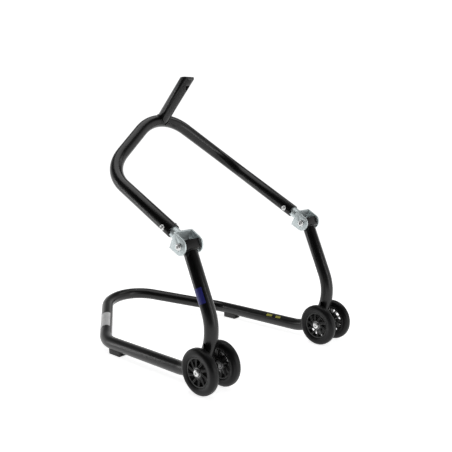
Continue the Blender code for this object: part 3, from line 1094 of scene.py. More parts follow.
@dataclass
class LiftPost(Assembly):
    """The post welded on the upper loop's peak, whose level seat takes the lifting pin.

    Attributes:
        loops: the loops that it is welded to.
        length: its length from the tube's centre line.
        bore: its bore's radius.
        plug: how long its solid end is.
        rise: how steeply it climbs towards the front.
        seat_z: the height of its level seat.
        pin_hole: the radius of the upright hole through that seat.
        pin_from_end: how far along the post that hole is from the end.
        edge: the rounding of its end.
        bead: the radius of its weld bead.
    """

    loops: TubeLoops
    length: float = 0.1670
    bore: float = 0.0125
    plug: float = 0.0450
    rise: float = math.radians(42.3)
    seat_z: float = 0.7325
    pin_hole: float = 0.0080
    pin_from_end: float = 0.0150
    edge: float = 0.0006
    bead: float = 0.0021

    @property
    def peak_run(self) -> Vector:
        """The way from the upper loop's corners up to its peak, seen from the side.

        Returns:
            The way, not of unit length.
        """
        corner = self.loops.upper_corners()[1][0]
        peak = self.layout.spot(0, *self.loops.upper_peak)
        return Vector((0, peak.y - corner.y, peak.z - corner.z))

    def foot(self) -> Vector:
        """The middle of the upper loop's rounded peak.

        Returns:
            The point on the tube's centre line.
        """
        half = self.peak_run
        run = Vector((self.layout.side_x, half.y, half.z)).normalized()
        sink = self.loops.upper_bends[1] * (1 / run.x - 1)
        return self.layout.spot(0, *self.loops.upper_peak) - half.normalized() * sink

    def build(self) -> None:
        """Builds the post and its weld bead."""
        aim = Vector((0, -math.cos(self.rise), math.sin(self.rise)))
        foot = self.foot()
        self.build_post(foot, aim)
        self.build_weld(foot, aim)

    def build_post(self, foot: Vector, aim: Vector) -> None:
        """Builds the post: fitted on the tube, milled level at its end and drilled for the pin.

        Args:
            foot: its foot on the tube's centre line.
            aim: the direction that it climbs in.
        """
        outer = self.layout.tube
        end = self.length - self.plug
        bore_tip = 0.0020
        profile = [(end, bore_tip), (end, self.bore), (0.0, self.bore), (0.0, outer)]
        profile += [(self.length - self.edge, outer), (self.length, outer - self.edge)]
        post = settle(turn("lift_post", profile, 64), facing(foot, aim))
        reach = outer + self.layout.gap
        saddle = bent_tube("saddle", self.loops.upper_corners(), reach, 64, capped=True)
        combine(post, saddle, "DIFFERENCE")
        pin = foot + aim * (self.length - self.pin_from_end)
        low = Vector((-0.03, pin.y - 0.05, self.seat_z))
        combine(post, box("mill", low, low + Vector((0.06, 0.10, 0.05))), "DIFFERENCE")
        bit = turn("bit", [(-0.05, self.pin_hole), (0.02, self.pin_hole)], 40)
        at = Vector((0, pin.y, self.seat_z))
        combine(post, settle(bit, facing(at, Vector((0, 0, 1)))), "DIFFERENCE")
        soften(post, 0.0004)
        self.dress(post, POWDER_COAT, "upper_frame", Slot.PAINT, ["head_post"])

    def build_weld(self, foot: Vector, aim: Vector) -> None:
        """Lays the bead along the line where the post meets the bent tube.

        Args:
            foot: the post's foot on the tube's centre line.
            aim: the direction that the post climbs in.
        """
        outer = self.layout.tube
        bend = self.loops.upper_bends[1]
        slope = self.peak_run.normalized()
        square = X_AXIS.cross(aim)
        spread = 0.03
        points = []
        for along_tube, off_tube in circle(outer, 96):
            climb = math.sqrt(max(outer**2 - off_tube**2, 0.0))
            sag = slope * (bend - math.hypot(bend, along_tube))
            point = foot + X_AXIS * along_tube + square * off_tube + aim * climb + sag
            points.append(point + (X_AXIS * along_tube + square * off_tube) * spread)
        self.weld("post_weld", points, self.bead, "upper_frame")


# --- Fixings -------------------------------------------------------------------------------------


def hex_socket(piece: bpy.types.Object, face: float, across: float, depth: float) -> None:
    """Sinks a hexagonal socket into a bolt head that points to -X.

    Args:
        piece: the bolt.
        face: the place of the head's crown on X.
        across: the socket's width across its flats.
        depth: how deep it goes.
    """
    reach = across / math.sqrt(3)
    profile = [(face - 0.001, reach), (face + depth, reach), (face + depth + 0.0008, reach * 0.4)]
    combine(piece, turn("key", profile, 6), "DIFFERENCE")


def button_bolt(
    name: str, seat: float, head: tuple[float, float], shank: float, end: float, pitch: float
) -> bpy.types.Object:
    """A button-head socket bolt about X, whose head points to -X.

    Args:
        name: the piece's name.
        seat: the place of the head's underside.
        head: the head's radius and height.
        shank: the shank's radius.
        end: the place of the bolt's end.
        pitch: the thread's pitch.

    Returns:
        The bolt, with a socket and a threaded end.
    """
    radius, height = head
    crown = seat - height
    flat = radius * 0.52
    rim = height * 0.22
    steps = 6
    threads = 8
    profile: list[tuple[float, float]] = [(crown, flat)]
    for step in range(1, steps + 1):
        angle = math.pi / 2 * step / steps
        out = flat + (radius - flat) * math.sin(angle)
        profile.append((crown + (height - rim) * (1 - math.cos(angle)), out))
    profile += [(seat - 0.0003, radius), (seat, radius - 0.0003), (seat, shank)]
    thread_start = end - (threads + 1) * pitch
    root = shank - 0.55 * pitch
    profile.append((thread_start, shank))
    for step in range(threads):
        place = thread_start + step * pitch
        profile += [(place + pitch / 2, root), (place + pitch, shank)]
    profile.append((end, root))
    bolt = turn(name, profile, 40)
    socket_across, socket_depth = radius * 0.72, height * 0.75
    hex_socket(bolt, crown, socket_across, socket_depth)
    return bolt


def lock_nut(
    name: str, start: float, end: float, across: float, bore: float
) -> bpy.types.Object:
    """A chamfered hexagon nut about X with a collar at its outer end.

    Args:
        name: the piece's name.
        start: the place of its seat.
        end: the place of its outer end.
        across: its width across the flats.
        bore: its bore's radius.

    Returns:
        The nut.
    """
    corner = across / math.sqrt(3)
    body_end = start + (end - start) * 0.74
    nut = turn(name, [(start, corner), (body_end, corner)], 6)
    half = across / 2
    flat = half * 0.97
    past_corner = corner + 0.0001
    lift = (corner - flat) * 0.58
    cone = [(start, flat), (start + lift, past_corner)]
    cone += [(body_end - lift, past_corner), (body_end, flat)]
    combine(nut, turn("chamfer", cone, 48), "INTERSECT")
    rim = half * 0.80
    collar = [(body_end - 0.0003, rim), (end - 0.0006, rim), (end, half * 0.70)]
    combine(nut, turn("collar", collar, 40), "UNION")
    drill = [(start - 0.001, bore), (end + 0.001, bore)]
    combine(nut, turn("tap", drill, 40), "DIFFERENCE")
    return nut


def chamfered_ring(
    name: str, start: float, end: float, outer: float, inner: float, chamfer: float = 0.0003
) -> bpy.types.Object:
    """A ring or sleeve about X whose four edges are chamfered.

    Args:
        name: the piece's name.
        start: the place of one end.
        end: the place of the other end.
        outer: its outer radius.
        inner: its bore's radius.
        chamfer: the chamfer's size.

    Returns:
        The ring.
    """
    profile = [(start, inner + chamfer), (start, outer - chamfer), (start + chamfer, outer)]
    profile += [(end - chamfer, outer), (end, outer - chamfer), (end, inner + chamfer)]
    profile += [(end - chamfer, inner), (start + chamfer, inner)]
    return turn(name, profile, 48, ring=True)


@dataclass(frozen=True)
class Fastener:
    """A button-head bolt and its nut, whose seats lie equally far from the middle of a joint.

    Attributes:
        head: the bolt head's radius and height.
        shank: the shank's radius.
        pitch: the thread's pitch.
        past: how far the bolt reaches past the nut's seat.
        nut_height: the nut's height.
        nut_across: its width across the flats.
    """

    head: tuple[float, float]
    shank: float
    pitch: float
    past: float
    nut_height: float
    nut_across: float

    def bolt(self, seat: float) -> bpy.types.Object:
        """The bolt, for seats that are so far from the middle."""
        return button_bolt("bolt", -seat, self.head, self.shank, seat + self.past, self.pitch)

    def nut(self, seat: float, bore: float) -> bpy.types.Object:
        """The nut, with its bore's radius, for seats that are so far from the middle."""
        return lock_nut("nut", seat, seat + self.nut_height, self.nut_across, bore)


PIVOT_FIXING = Fastener(
    head=(0.0085, 0.0055),
    shank=0.0050,
    pitch=0.0015,
    past=0.0095,
    nut_height=0.0085,
    nut_across=0.0160,
)
CLAMP_FIXING = Fastener(
    head=(0.0070, 0.0044),
    shank=0.0040,
    pitch=0.00125,
    past=0.0080,
    nut_height=0.0070,
    nut_across=0.0130,
)
AXLE_FIXING = Fastener(
    head=(0.0080, 0.0033),
    shank=0.0040,
    pitch=0.00125,
    past=0.0050,
    nut_height=0.0050,
    nut_across=0.0130,
)


# --- Folding joint -------------------------------------------------------------------------------


@dataclass
class FoldingJoint(Assembly):
    """The brackets on the uprights, the yokes round them and the bolts that hold them.

    Attributes:
        plate: the thickness of the bent plates.
        head_half_width: half of a bracket's width.
        head_top: the top of its front wall.
        head_front: its front face.
        head_bend: the outer radius of its bends.
        head_stop: the lower and upper end of its rear face, below the stem's centre line.
        ear: the radius of a yoke's nose.
        yoke_half_width: half of a yoke's width.
        yoke_back: the back face of its plate, along the stem.
        yoke_half_height: half of that plate's height.
        yoke_bend: the outer radius of its bends.
        bush: the radius of the spacer bush between the cheeks.
        edge: the rounding of the plates' edges.
    """

    plate: float = 0.0040
    head_half_width: float = 0.0231
    head_top: float = 0.0101
    head_front: float = 0.0150
    head_bend: float = 0.0022
    head_stop: tuple[float, float] = (0.020, 0.008)
    ear: float = 0.0205
    yoke_half_width: float = 0.0274
    yoke_back: float = 0.0300
    yoke_half_height: float = 0.0215
    yoke_bend: float = 0.0030
    bush: float = 0.0075
    edge: float = 0.00045

    @property
    def clear(self) -> float:
        """The radius of a hole that clears the pivot bolt."""
        return PIVOT_FIXING.shank + self.layout.gap

    def hollow_out(
        self, piece: bpy.types.Object, low: Vector, high: Vector, corner: float, segments: int
    ) -> None:
        """Clears the space between a piece's plates, drills its pivot hole and softens its edges.

        Args:
            piece: the bracket or yoke, still solid.
            low: the space's lowest corner.
            high: its highest corner.
            corner: the inner radius of the bends.
            segments: how many steps those bends are cut into.
        """
        pocket = box("pocket", low, high)
        soften(pocket, corner, segments)
        combine(piece, pocket, "DIFFERENCE")
        reach = 0.04
        bit = turn("bit", [(-reach, self.clear), (reach, self.clear)], 40)
        combine(piece, bit, "DIFFERENCE")
        soften(piece, self.edge)

    def bracket(self) -> bpy.types.Object:
        """One channel bracket: a front wall, a floor and two cheeks with a pivot hole.

        Returns:
            The pattern, in the upright's frame.
        """
        wide = self.head_half_width
        bottom = self.layout.head_bottom
        blank_back, blank_top = 0.034, 0.020
        low = Vector((-wide, -self.head_front, bottom))
        piece = box("bracket", low, Vector((wide, blank_back, blank_top)))
        turn_back = self.layout.slope + self.layout.lean
        along = Vector((0, math.cos(turn_back), math.sin(turn_back)))
        across = Vector((0, -math.sin(turn_back), math.cos(turn_back)))
        stop = self.yoke_back - self.plate - self.layout.gap
        low_stop, high_stop = (along * stop - across * below for below in self.head_stop)
        floor_end = Vector((0, self.layout.tube, bottom))
        front_top = Vector((0, -self.head_front, self.head_top))
        for first, last in ((floor_end, low_stop), (low_stop, high_stop), (high_stop, front_top)):
            run = last - first
            edit(piece)
            bpy.ops.mesh.bisect(
                plane_co=first,
                plane_no=Vector((0, run.z, -run.y)).normalized(),
                threshold=MERGE_DISTANCE / 2,
                use_fill=True,
                clear_outer=True,
            )
            leave()
        edit(piece)

        def front_bend(middle: Vector, direction: Vector) -> bool:
            """Whether an edge is one where the plate is bent.

            Args:
                middle: the edge's middle.
                direction: its direction.

            Returns:
                True for the front face's two upright edges and its lower one.
            """
            upright_edge = abs(direction.z) > 0.9 and abs(middle.x) > wide * 0.9
            floor_edge = abs(direction.x) > 0.9 and middle.z < bottom + 0.001
            return middle.y < -self.head_front + 0.001 and (upright_edge or floor_edge)

        pick_edges(piece, front_bend)
        bpy.ops.mesh.bevel(offset=self.head_bend, segments=4, affect="EDGES")
        leave()
        inner = wide - self.plate
        inside = Vector((-inner, -self.head_front + self.plate, bottom + self.plate))
        self.hollow_out(piece, inside, Vector((inner, 0.06, 0.05)), 0.0015, 3)
        return piece

    def strap(self) -> bpy.types.Object:
        """One yoke: a plate bent into two round-nosed ears with a pivot hole.

        Returns:
            The pattern, in the stem's frame.
        """
        wide = self.yoke_half_width
        nose = self.ear
        piece = box("strap", Vector((-wide, -nose, -nose)), Vector((wide, self.yoke_back, nose)))
        edit(piece)
        pick_edges(piece, lambda middle, direction: middle.y > self.yoke_back - 0.0005)
        spread = self.yoke_half_height / nose
        bpy.ops.transform.resize(value=(1, 1, spread), center_override=(0, self.yoke_back, 0))
        pick_edges(
            piece,
            lambda middle, direction: abs(direction.x) > 0.9 and middle.y < -nose + 0.001,
        )
        bpy.ops.mesh.bevel(offset=nose * 0.98, segments=14, affect="EDGES")
        pick_edges(
            piece,
            lambda middle, direction: abs(direction.z) > 0.9
            and middle.y > self.yoke_back - 0.0005
            and abs(middle.x) > wide * 0.9,
        )
        bpy.ops.mesh.bevel(offset=self.yoke_bend, segments=5, affect="EDGES")
        leave()
        inner = wide - self.plate
        inside = Vector((inner, self.yoke_back - self.plate, 0.05))
        self.hollow_out(piece, Vector((-inner, -0.05, -0.05)), inside, 0.0008, 2)
        return piece

    def build(self) -> None:
        """Builds both sides' brackets, yokes, bolts, bushes and nuts."""
        lay = self.layout
        seat = self.yoke_half_width + lay.gap
        bush_end = self.head_half_width - self.plate - lay.gap
        bracket = self.bracket()
        strap = self.strap()
        bolt = PIVOT_FIXING.bolt(seat)
        bush = chamfered_ring("bush", -bush_end, bush_end, self.bush, self.clear)
        nut = PIVOT_FIXING.nut(seat, self.clear)
        for side in Side:
            tag = side.label
            upright = lay.upright_frame(side)
            stem = lay.stem_frame(side)
            at = Matrix.Translation(lay.pivot_of(side))
            head = twin(bracket, f"channel_bracket_{tag}", upright)
            self.dress(head, POWDER_COAT, "base", Slot.PAINT, [f"head_{tag}"])
            yoke = twin(strap, f"bent_yoke_{tag}", stem)
            self.dress(yoke, ZINC_PLATE, "yokes", Slot.ZINC, [f"yoke_{tag}"])
            for pattern, name, node in (
                (bolt, "pivot_screw", "pivot_bolt"),
                (bush, "pivot_sleeve", "pivot_bush"),
                (nut, "pivot_locknut", "pivot_nut"),
            ):
                piece = twin(pattern, f"{name}_{tag}", at)
                node = f"{node}_{tag}"
                self.dress(piece, PLATED_FIXING, body_of(node), Slot.FIXINGS, [node])
        for pattern in (bracket, strap, bolt, bush, nut):
            bpy.data.objects.remove(pattern)


def body_of(node: str) -> str:
    """The body that a CAD node moves with."""
    return frame["nodes"][node]["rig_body"]


@dataclass
class Stems(Assembly):
    """The slotted telescopic stems and the bolts that clamp the upper loop on them.

    Attributes:
        radius: a stem's outer radius.
        bore: its bore's radius.
        start: its welded end, along the stem.
        end: its free end.
        slot_radius: half of its slot's width.
        slot_ends: the centres of the slot's two rounded ends.
        bead: the radius of the weld bead round a stem.
    """

    radius: float = 0.01345
    bore: float = 0.01085
    start: float = 0.0303
    end: float = 0.1800
    slot_radius: float = 0.0045
    slot_ends: tuple[float, float] = (0.0570, 0.1500)
    bead: float = 0.0018

    def tube(self) -> bpy.types.Object:
        """One stem with its slot.

        Returns:
            The pattern, along X from the pivot.
        """
        stem = chamfered_ring("stem", self.start, self.end, self.radius, self.bore, 0.0004)
        first, last = self.slot_ends
        reach = self.slot_radius
        cutter = box(
            "slot", Vector((first - reach, -0.03, -reach)), Vector((last + reach, 0.03, reach))
        )
        edit(cutter)
        pick_edges(cutter, lambda middle, direction: abs(direction.y) > 0.9)
        bpy.ops.mesh.bevel(offset=reach * 0.995, segments=8, affect="EDGES")
        leave()
        combine(stem, cutter, "DIFFERENCE")
        return stem

    def build(self) -> None:
        """Builds both stems, their weld beads, and the clamp bolts and nuts."""
        lay = self.layout
        stem = self.tube()
        seat = lay.tube + lay.gap
        bolt = CLAMP_FIXING.bolt(seat)
        nut = CLAMP_FIXING.nut(seat, CLAMP_FIXING.shank + lay.gap)
        line = circle(self.radius + 0.0006, 56)
        foot = self.start + 0.0010
        for side in Side:
            tag = side.label
            turned = Matrix.Rotation(math.pi / 2, 4, "Z")
            piece = twin(stem, f"slotted_stem_{tag}", lay.stem_frame(side) @ turned)
            self.dress(piece, ZINC_PLATE, "yokes", Slot.ZINC, [f"stem_{tag}"])
            points = [lay.stem_frame(side) @ Vector((across, foot, up)) for across, up in line]
            bead = self.weld(f"stem_weld_{tag}", points, self.bead, "yokes")
            bead.data.materials[0] = self.palette.of(ZINC_PLATE)
            at = Matrix.Translation(lay.pivot_of(side) + lay.up_the_stem * lay.clamp)
            for pattern, name, node in (
                (bolt, "clamp_screw", "clamp_bolt"),
                (nut, "clamp_locknut", "clamp_nut"),
            ):
                piece = twin(pattern, f"{name}_{tag}", at)
                node = f"{node}_{tag}"
                self.dress(piece, PLATED_FIXING, body_of(node), Slot.FIXINGS, [node])
        for pattern in (stem, bolt, nut):
            bpy.data.objects.remove(pattern)


# --- Wheels and axles ----------------------------------------------------------------------------


@dataclass
class Wheels(Assembly):
    """The four wheels: tyres, spoked cores, bearings and the spacers between them.

    Attributes:
        offset: a wheel's middle from the middle of its side.
        half_width: half of a tyre's width.
        bead_half: half of its width where it sits on the core.
        shoulder: the radius of its shoulders.
        wall_drop: how far below the tread its flat sides end.
        core_radius: where the tyre meets the core.
        rim_inner: the inside of the core's rim.
        rim_half: half of the rim's width.
        hub_radius: the hub's outer radius.
        hub_half: half of the hub's width.
        hub_bore: the hub's bore between the bearings.
        spokes: how many pairs of ribs there are.
        rib_half: half of a rib's width.
        rib_thick: its thickness.
        rib_lean: how far it leans off the radius, in radians.
        rib_aside: how far it stands beside its pair's middle.
        bearing_radius: a bearing's outer radius.
        bearing_width: its width.
        bearing_face: its outer face, from the wheel's middle.
        shield_depth: how deep its seal is sunk.
        race: how wide the face of each race is.
        spacer: the outer radius of the tube between the bearings.
    """

    offset: float = 0.0343
    half_width: float = 0.0120
    bead_half: float = 0.0088
    shoulder: float = 0.0100
    wall_drop: float = 0.0145
    core_radius: float = 0.0355
    rim_inner: float = 0.0320
    rim_half: float = 0.0080
    hub_radius: float = 0.0140
    hub_half: float = 0.0090
    hub_bore: float = 0.0085
    spokes: int = 10
    rib_half: float = 0.0078
    rib_thick: float = 0.0012
    rib_lean: float = 0.42
    rib_aside: float = 0.0016
    bearing_radius: float = 0.0110
    bearing_width: float = 0.0070
    bearing_face: float = 0.0086
    shield_depth: float = 0.0005
    race: float = 0.0016
    spacer: float = 0.0058

    @property
    def bore(self) -> float:
        """The radius of a bore that clears the axle bolt."""
        return AXLE_FIXING.shank + self.layout.gap

    def tyre(self) -> bpy.types.Object:
        """One tyre: flat sides, full shoulders, a flat tread and a fine mould line.

        Returns:
            The pattern, about X.
        """
        radius = self.layout.wheel_radius
        wide = self.half_width
        bead = self.core_radius + self.layout.gap
        edge = 0.0006
        round_at = (-wide + self.shoulder, radius - self.shoulder)
        half = [(-self.bead_half, bead), (-self.bead_half - edge, bead + edge)]
        half += [(-wide + 0.0008, radius - self.wall_drop)]
        half += arc(round_at, self.shoulder, 180, 97, 12)
        half += [(-0.0007, radius - 0.0001), (-0.0003, radius)]
        profile = half + [(-place, out) for place, out in reversed(half)]
        return turn("tyre", profile, 96, ring=True)

    def rib(self, aside: float) -> bpy.types.Object:
        """One thin rib between hub and rim, leaning off the radius.

        Args:
            aside: how far it stands beside its pair's middle, and on which side.

        Returns:
            The rib, pointing up.
        """
        half = self.rib_thick / 2
        low = Vector((-self.rib_half, aside - half, self.hub_radius * 0.86))
        high = Vector((self.rib_half, aside + half, self.rim_inner + 0.0034))
        piece = box("rib", low, high)
        edit(piece)
        pick_faces(piece, lambda centre, normal: abs(normal.z) < 0.5 and abs(normal.x) > 0.5)
        bpy.ops.mesh.inset(thickness=self.rib_thick * 0.22)
        leave()
        pivot = Matrix.Translation((0, 0, self.hub_radius))
        return settle(piece, pivot @ Matrix.Rotation(self.rib_lean, 4, "X") @ pivot.inverted())

    def core(self) -> bpy.types.Object:
        """One core: a rim, a hub with bearing seats, and pairs of leaning ribs.

        Returns:
            The pattern, about X.
        """
        seat = self.bearing_radius + self.layout.gap
        shoulder = self.bearing_face - self.bearing_width - self.layout.gap
        edge = 0.0006
        rim = chamfered_ring(
            "rim", -self.rim_half, self.rim_half, self.core_radius, self.rim_inner, edge
        )
        hub_half = self.hub_half
        profile = [(hub_half, self.hub_radius - edge), (hub_half - edge, self.hub_radius)]
        profile += [(-hub_half + edge, self.hub_radius), (-hub_half, self.hub_radius - edge)]
        profile += [(-hub_half, seat), (-shoulder, seat), (-shoulder, self.hub_bore)]
        profile += [(shoulder, self.hub_bore), (shoulder, seat), (hub_half, seat)]
        hub = turn("hub", profile, 64, ring=True)
        ribs = []
        step = 2 * math.pi / self.spokes
        for index in range(self.spokes):
            for aside in (-self.rib_aside, self.rib_aside):
                ribs.append(settle(self.rib(aside), Matrix.Rotation(step * index, 4, "X")))
        bpy.ops.object.select_all(action="DESELECT")
        for rib in ribs:
            rib.select_set(True)
        bpy.context.view_layer.objects.active = ribs[0]
        bpy.ops.object.join()
        combine(hub, ribs[0], "UNION")
        combine(rim, hub, "UNION")
        return rim

    def bearing(self) -> bpy.types.Object:
        """One ball bearing: two races with a sunk shield between them.

        Returns:
            The pattern, with its shielded face towards -X.
        """
        near = -self.bearing_face
        far = -self.bearing_face + self.bearing_width
        outer = self.bearing_radius
        inner = self.bore
        edge = 0.0003
        sunk = near + self.shield_depth
        race = self.race
        seal = race + 0.0002
        profile = [(far, inner + edge), (far, outer - edge), (far - edge, outer)]
        profile += [(near + edge, outer), (near, outer - edge), (near, outer - race)]
        profile += [(sunk, outer - seal), (sunk, inner + seal), (near, inner + race)]
        profile += [(near, inner + edge), (near + edge, inner), (far - edge, inner)]
        return turn("bearing", profile, 48, ring=True)

    def blacken_seal(self, piece: bpy.types.Object, middle: Vector) -> None:
        """Gives a bearing's sunk seal its black rubber.

        Args:
            piece: the bearing in place.
            middle: the wheel's middle.
        """
        piece.data.materials.append(self.palette.of(BEARING_SEAL))
        edit(piece)
        near = self.bearing_face - self.shield_depth - 0.0006
        within_race = self.race - 0.0002
        outer = self.bearing_radius - within_race
        inner = self.bore + within_race

        def sunk(centre: Vector, normal: Vector) -> bool:
            """Whether a face belongs to the sunk seal.

            Args:
                centre: the face's centre.
                normal: its normal, which doesn't matter here.

            Returns:
                True for the seal's flat face.
            """
            off = math.hypot(centre.y - middle.y, centre.z - middle.z)
            return abs(centre.x - middle.x) > near and inner < off < outer

        pick_faces(piece, sunk)
        piece.active_material_index = 1
        bpy.ops.object.material_slot_assign()
        leave()

    def build(self) -> None:
        """Builds the four wheels."""
        tyre = self.tyre()
        core = self.core()
        bearing = self.bearing()
        lay = self.layout
        inner_face = self.bearing_face - self.bearing_width - lay.gap
        spacer = chamfered_ring("spacer", -inner_face, inner_face, self.spacer, self.bore)
        half_turn = Matrix.Rotation(math.pi, 4, "Z")
        for side in Side:
            for where, out in (("outer", 1), ("inner", -1)):
                tag = f"{side.label}_{where}"
                across = side.value * (lay.side_x + out * self.offset)
                middle = lay.spot(across, 0.0, lay.wheel_radius)
                at = Matrix.Translation(middle)
                spin = at @ Matrix.Rotation(math.radians(17 * (out + 2 * side.value)), 4, "X")
                wheel = body_of(f"tyre_{tag}")
                piece = twin(tyre, f"tread_{tag}", at)
                self.dress(piece, TYRE_RUBBER, wheel, Slot.TYRE, [f"tyre_{tag}"])
                piece = twin(core, f"spoked_core_{tag}", spin)
                self.dress(piece, GLOSS_CORE, wheel, Slot.CORE, [f"core_{tag}"])
                for hand, place in (("left", at), ("right", at @ half_turn)):
                    piece = twin(bearing, f"ball_bearing_{hand}_{tag}", place)
                    node = f"bearing_{hand}_{tag}"
                    self.dress(piece, BEARING_STEEL, wheel, Slot.BEARING, [node])
                    self.blacken_seal(piece, middle)
                piece = twin(spacer, f"spacer_tube_{tag}", at)
                node = f"bearing_spacer_{tag}"
                self.dress(piece, BEARING_STEEL, wheel, Slot.BEARING, [node])
        for pattern in (tyre, core, bearing, spacer):
            bpy.data.objects.remove(pattern)


@dataclass
class Axles(Assembly):
    """The axle bolts with their welded sleeves, spacers, washers and nuts.

    Attributes:
        wheels: the wheels that run on them.
        sleeve_half: half of a sleeve's length.
        washer: a washer's thickness.
        collar: the outer radius of the spacers and washers.
    """

    wheels: Wheels
    sleeve_half: float = 0.0140
    washer: float = 0.0012
    collar: float = 0.0080

    def build(self) -> None:
        """Builds both axles."""
        run = self.wheels
        lay = self.layout
        bore = run.bore
        washer_at = run.offset + run.bearing_face + lay.gap
        seat = washer_at + self.washer + lay.gap
        start = self.sleeve_half + lay.gap
        end = run.offset - run.bearing_face - lay.gap
        low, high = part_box("axle_sleeve_left")
        sleeve_radius = (high.z - low.z) / 2
        half = self.sleeve_half
        sleeve = chamfered_ring("sleeve", -half, half, sleeve_radius, bore, 0.0006)
        bolt = AXLE_FIXING.bolt(seat)
        nut = AXLE_FIXING.nut(seat, bore)
        rings = (
            ("axle_collar", "axle_spacer", start, end, 0.0003),
            ("plain_washer", "axle_washer", washer_at, washer_at + self.washer, 0.0002),
        )
        for side in Side:
            tag = side.label
            at = Matrix.Translation(lay.spot(side.value * lay.side_x, 0.0, lay.wheel_radius))
            piece = twin(sleeve, f"axle_tube_{tag}", at)
            self.dress(piece, POWDER_COAT, "base", Slot.PAINT, [f"axle_sleeve_{tag}"])
            piece = twin(bolt, f"axle_screw_{tag}", at)
            self.dress(piece, PLATED_FIXING, "base", Slot.FIXINGS, [f"axle_bolt_{tag}"])
            piece = twin(nut, f"axle_locknut_{tag}", at)
            self.dress(piece, PLATED_FIXING, "base", Slot.FIXINGS, [f"axle_nut_{tag}"])
            for kind, node, near, far, chamfer in rings:
                for hand, ends in (("left", (-far, -near)), ("right", (near, far))):
                    name = f"{kind}_{tag}_{hand}"
                    piece = chamfered_ring(name, *ends, self.collar, bore, chamfer)
                    stands_for = [f"{node}_{tag}_{hand}"]
                    self.dress(settle(piece, at), PLATED_FIXING, "base", Slot.FIXINGS, stands_for)
        for pattern in (sleeve, bolt, nut):
            bpy.data.objects.remove(pattern)


@dataclass
class Feet(Assembly):
    """The rubber blocks under the legs.

    Attributes:
        loops: the loops whose legs stand on them.
        along: a block's place behind the axle.
        size: its width, length and height.
        recess: how deep its moulded ends are hollowed.
        lip: how wide the rim round each hollow is.
        corner: the rounding of its edges.
    """

    loops: TubeLoops
    along: float = 0.3720
    size: tuple[float, float, float] = (0.0240, 0.0480, 0.0200)
    recess: float = 0.0050
    lip: float = 0.0022
    corner: float = 0.0020

    def block(self) -> bpy.types.Object:
        """One block with hollowed ends and rounded edges.

        Returns:
            The pattern, standing on the origin.
        """
        wide, long, high = self.size
        piece = box("block", Vector((-wide / 2, -long / 2, 0)), Vector((wide / 2, long / 2, high)))
        soften(piece, self.corner, 3)
        edit(piece)
        pick_faces(piece, lambda centre, normal: abs(normal.y) > 0.99)
        bpy.ops.mesh.inset(thickness=self.lip, use_individual=True)
        shrink = 1 - 2 * self.recess / long
        bpy.ops.mesh.extrude_region_move(TRANSFORM_OT_translate={"value": (0, 0, 0)})
        bpy.ops.transform.resize(value=(1, shrink, 1), center_override=(0, 0, high / 2))
        leave()
        return piece

    def build(self) -> None:
        """Builds both feet."""
        block = self.block()
        reach = self.layout.tube + self.layout.gap
        saddle = bent_tube("saddle", self.loops.base_corners(), reach, 64, capped=True)
        lay = self.layout
        for side in Side:
            at = Matrix.Translation(lay.spot(side.value * lay.side_x, self.along, 0.0))
            foot = twin(block, f"rubber_foot_{side.label}", at)
            combine(foot, saddle, "DIFFERENCE", keep=True)
            self.dress(foot, BLOCK_RUBBER, "base", Slot.RUBBER, [f"foot_{side.label}"])
        for pattern in (block, saddle):
            bpy.data.objects.remove(pattern)


# --- Studio --------------------------------------------------------------------------------------


@dataclass(frozen=True)
class Lamp:
    """A soft box light.

    Attributes:
        name: the lamp's name.
        place: where it hangs.
        size: its width and height.
        power: its power in watts.
        aim: the point that it looks at.
    """

    name: str
    place: tuple[float, float, float]
    size: tuple[float, float]
    power: float
    aim: tuple[float, float, float] = (0.0, 0.0, 0.3)

    def hang(self) -> None:
        """Hangs the lamp in the scene."""
        light = bpy.data.lights.new(self.name, "AREA")
        light.shape = "RECTANGLE"
        light.size, light.size_y = self.size
        light.energy = self.power
        lamp = bpy.data.objects.new(self.name, light)
        lamp.location = self.place
        towards = Vector(self.aim) - Vector(self.place)
        lamp.rotation_euler = towards.to_track_quat("-Z", "Y").to_euler()
        bpy.context.scene.collection.objects.link(lamp)


LAMPS = (
    Lamp("top_box", place=(0.2, 0.4, 2.6), size=(2.0, 2.0), power=20.0),
    Lamp("left_strip", place=(-1.7, 2.1, 0.5), size=(0.20, 1.6), power=6.0),
    Lamp("right_strip", place=(0.5, -2.6, 0.7), size=(0.20, 2.0), power=8.0),
    Lamp("end_box", place=(1.9, -0.6, 2.5), size=(0.9, 0.9), power=6.0, aim=(0.0, 0.0, 0.7)),
)


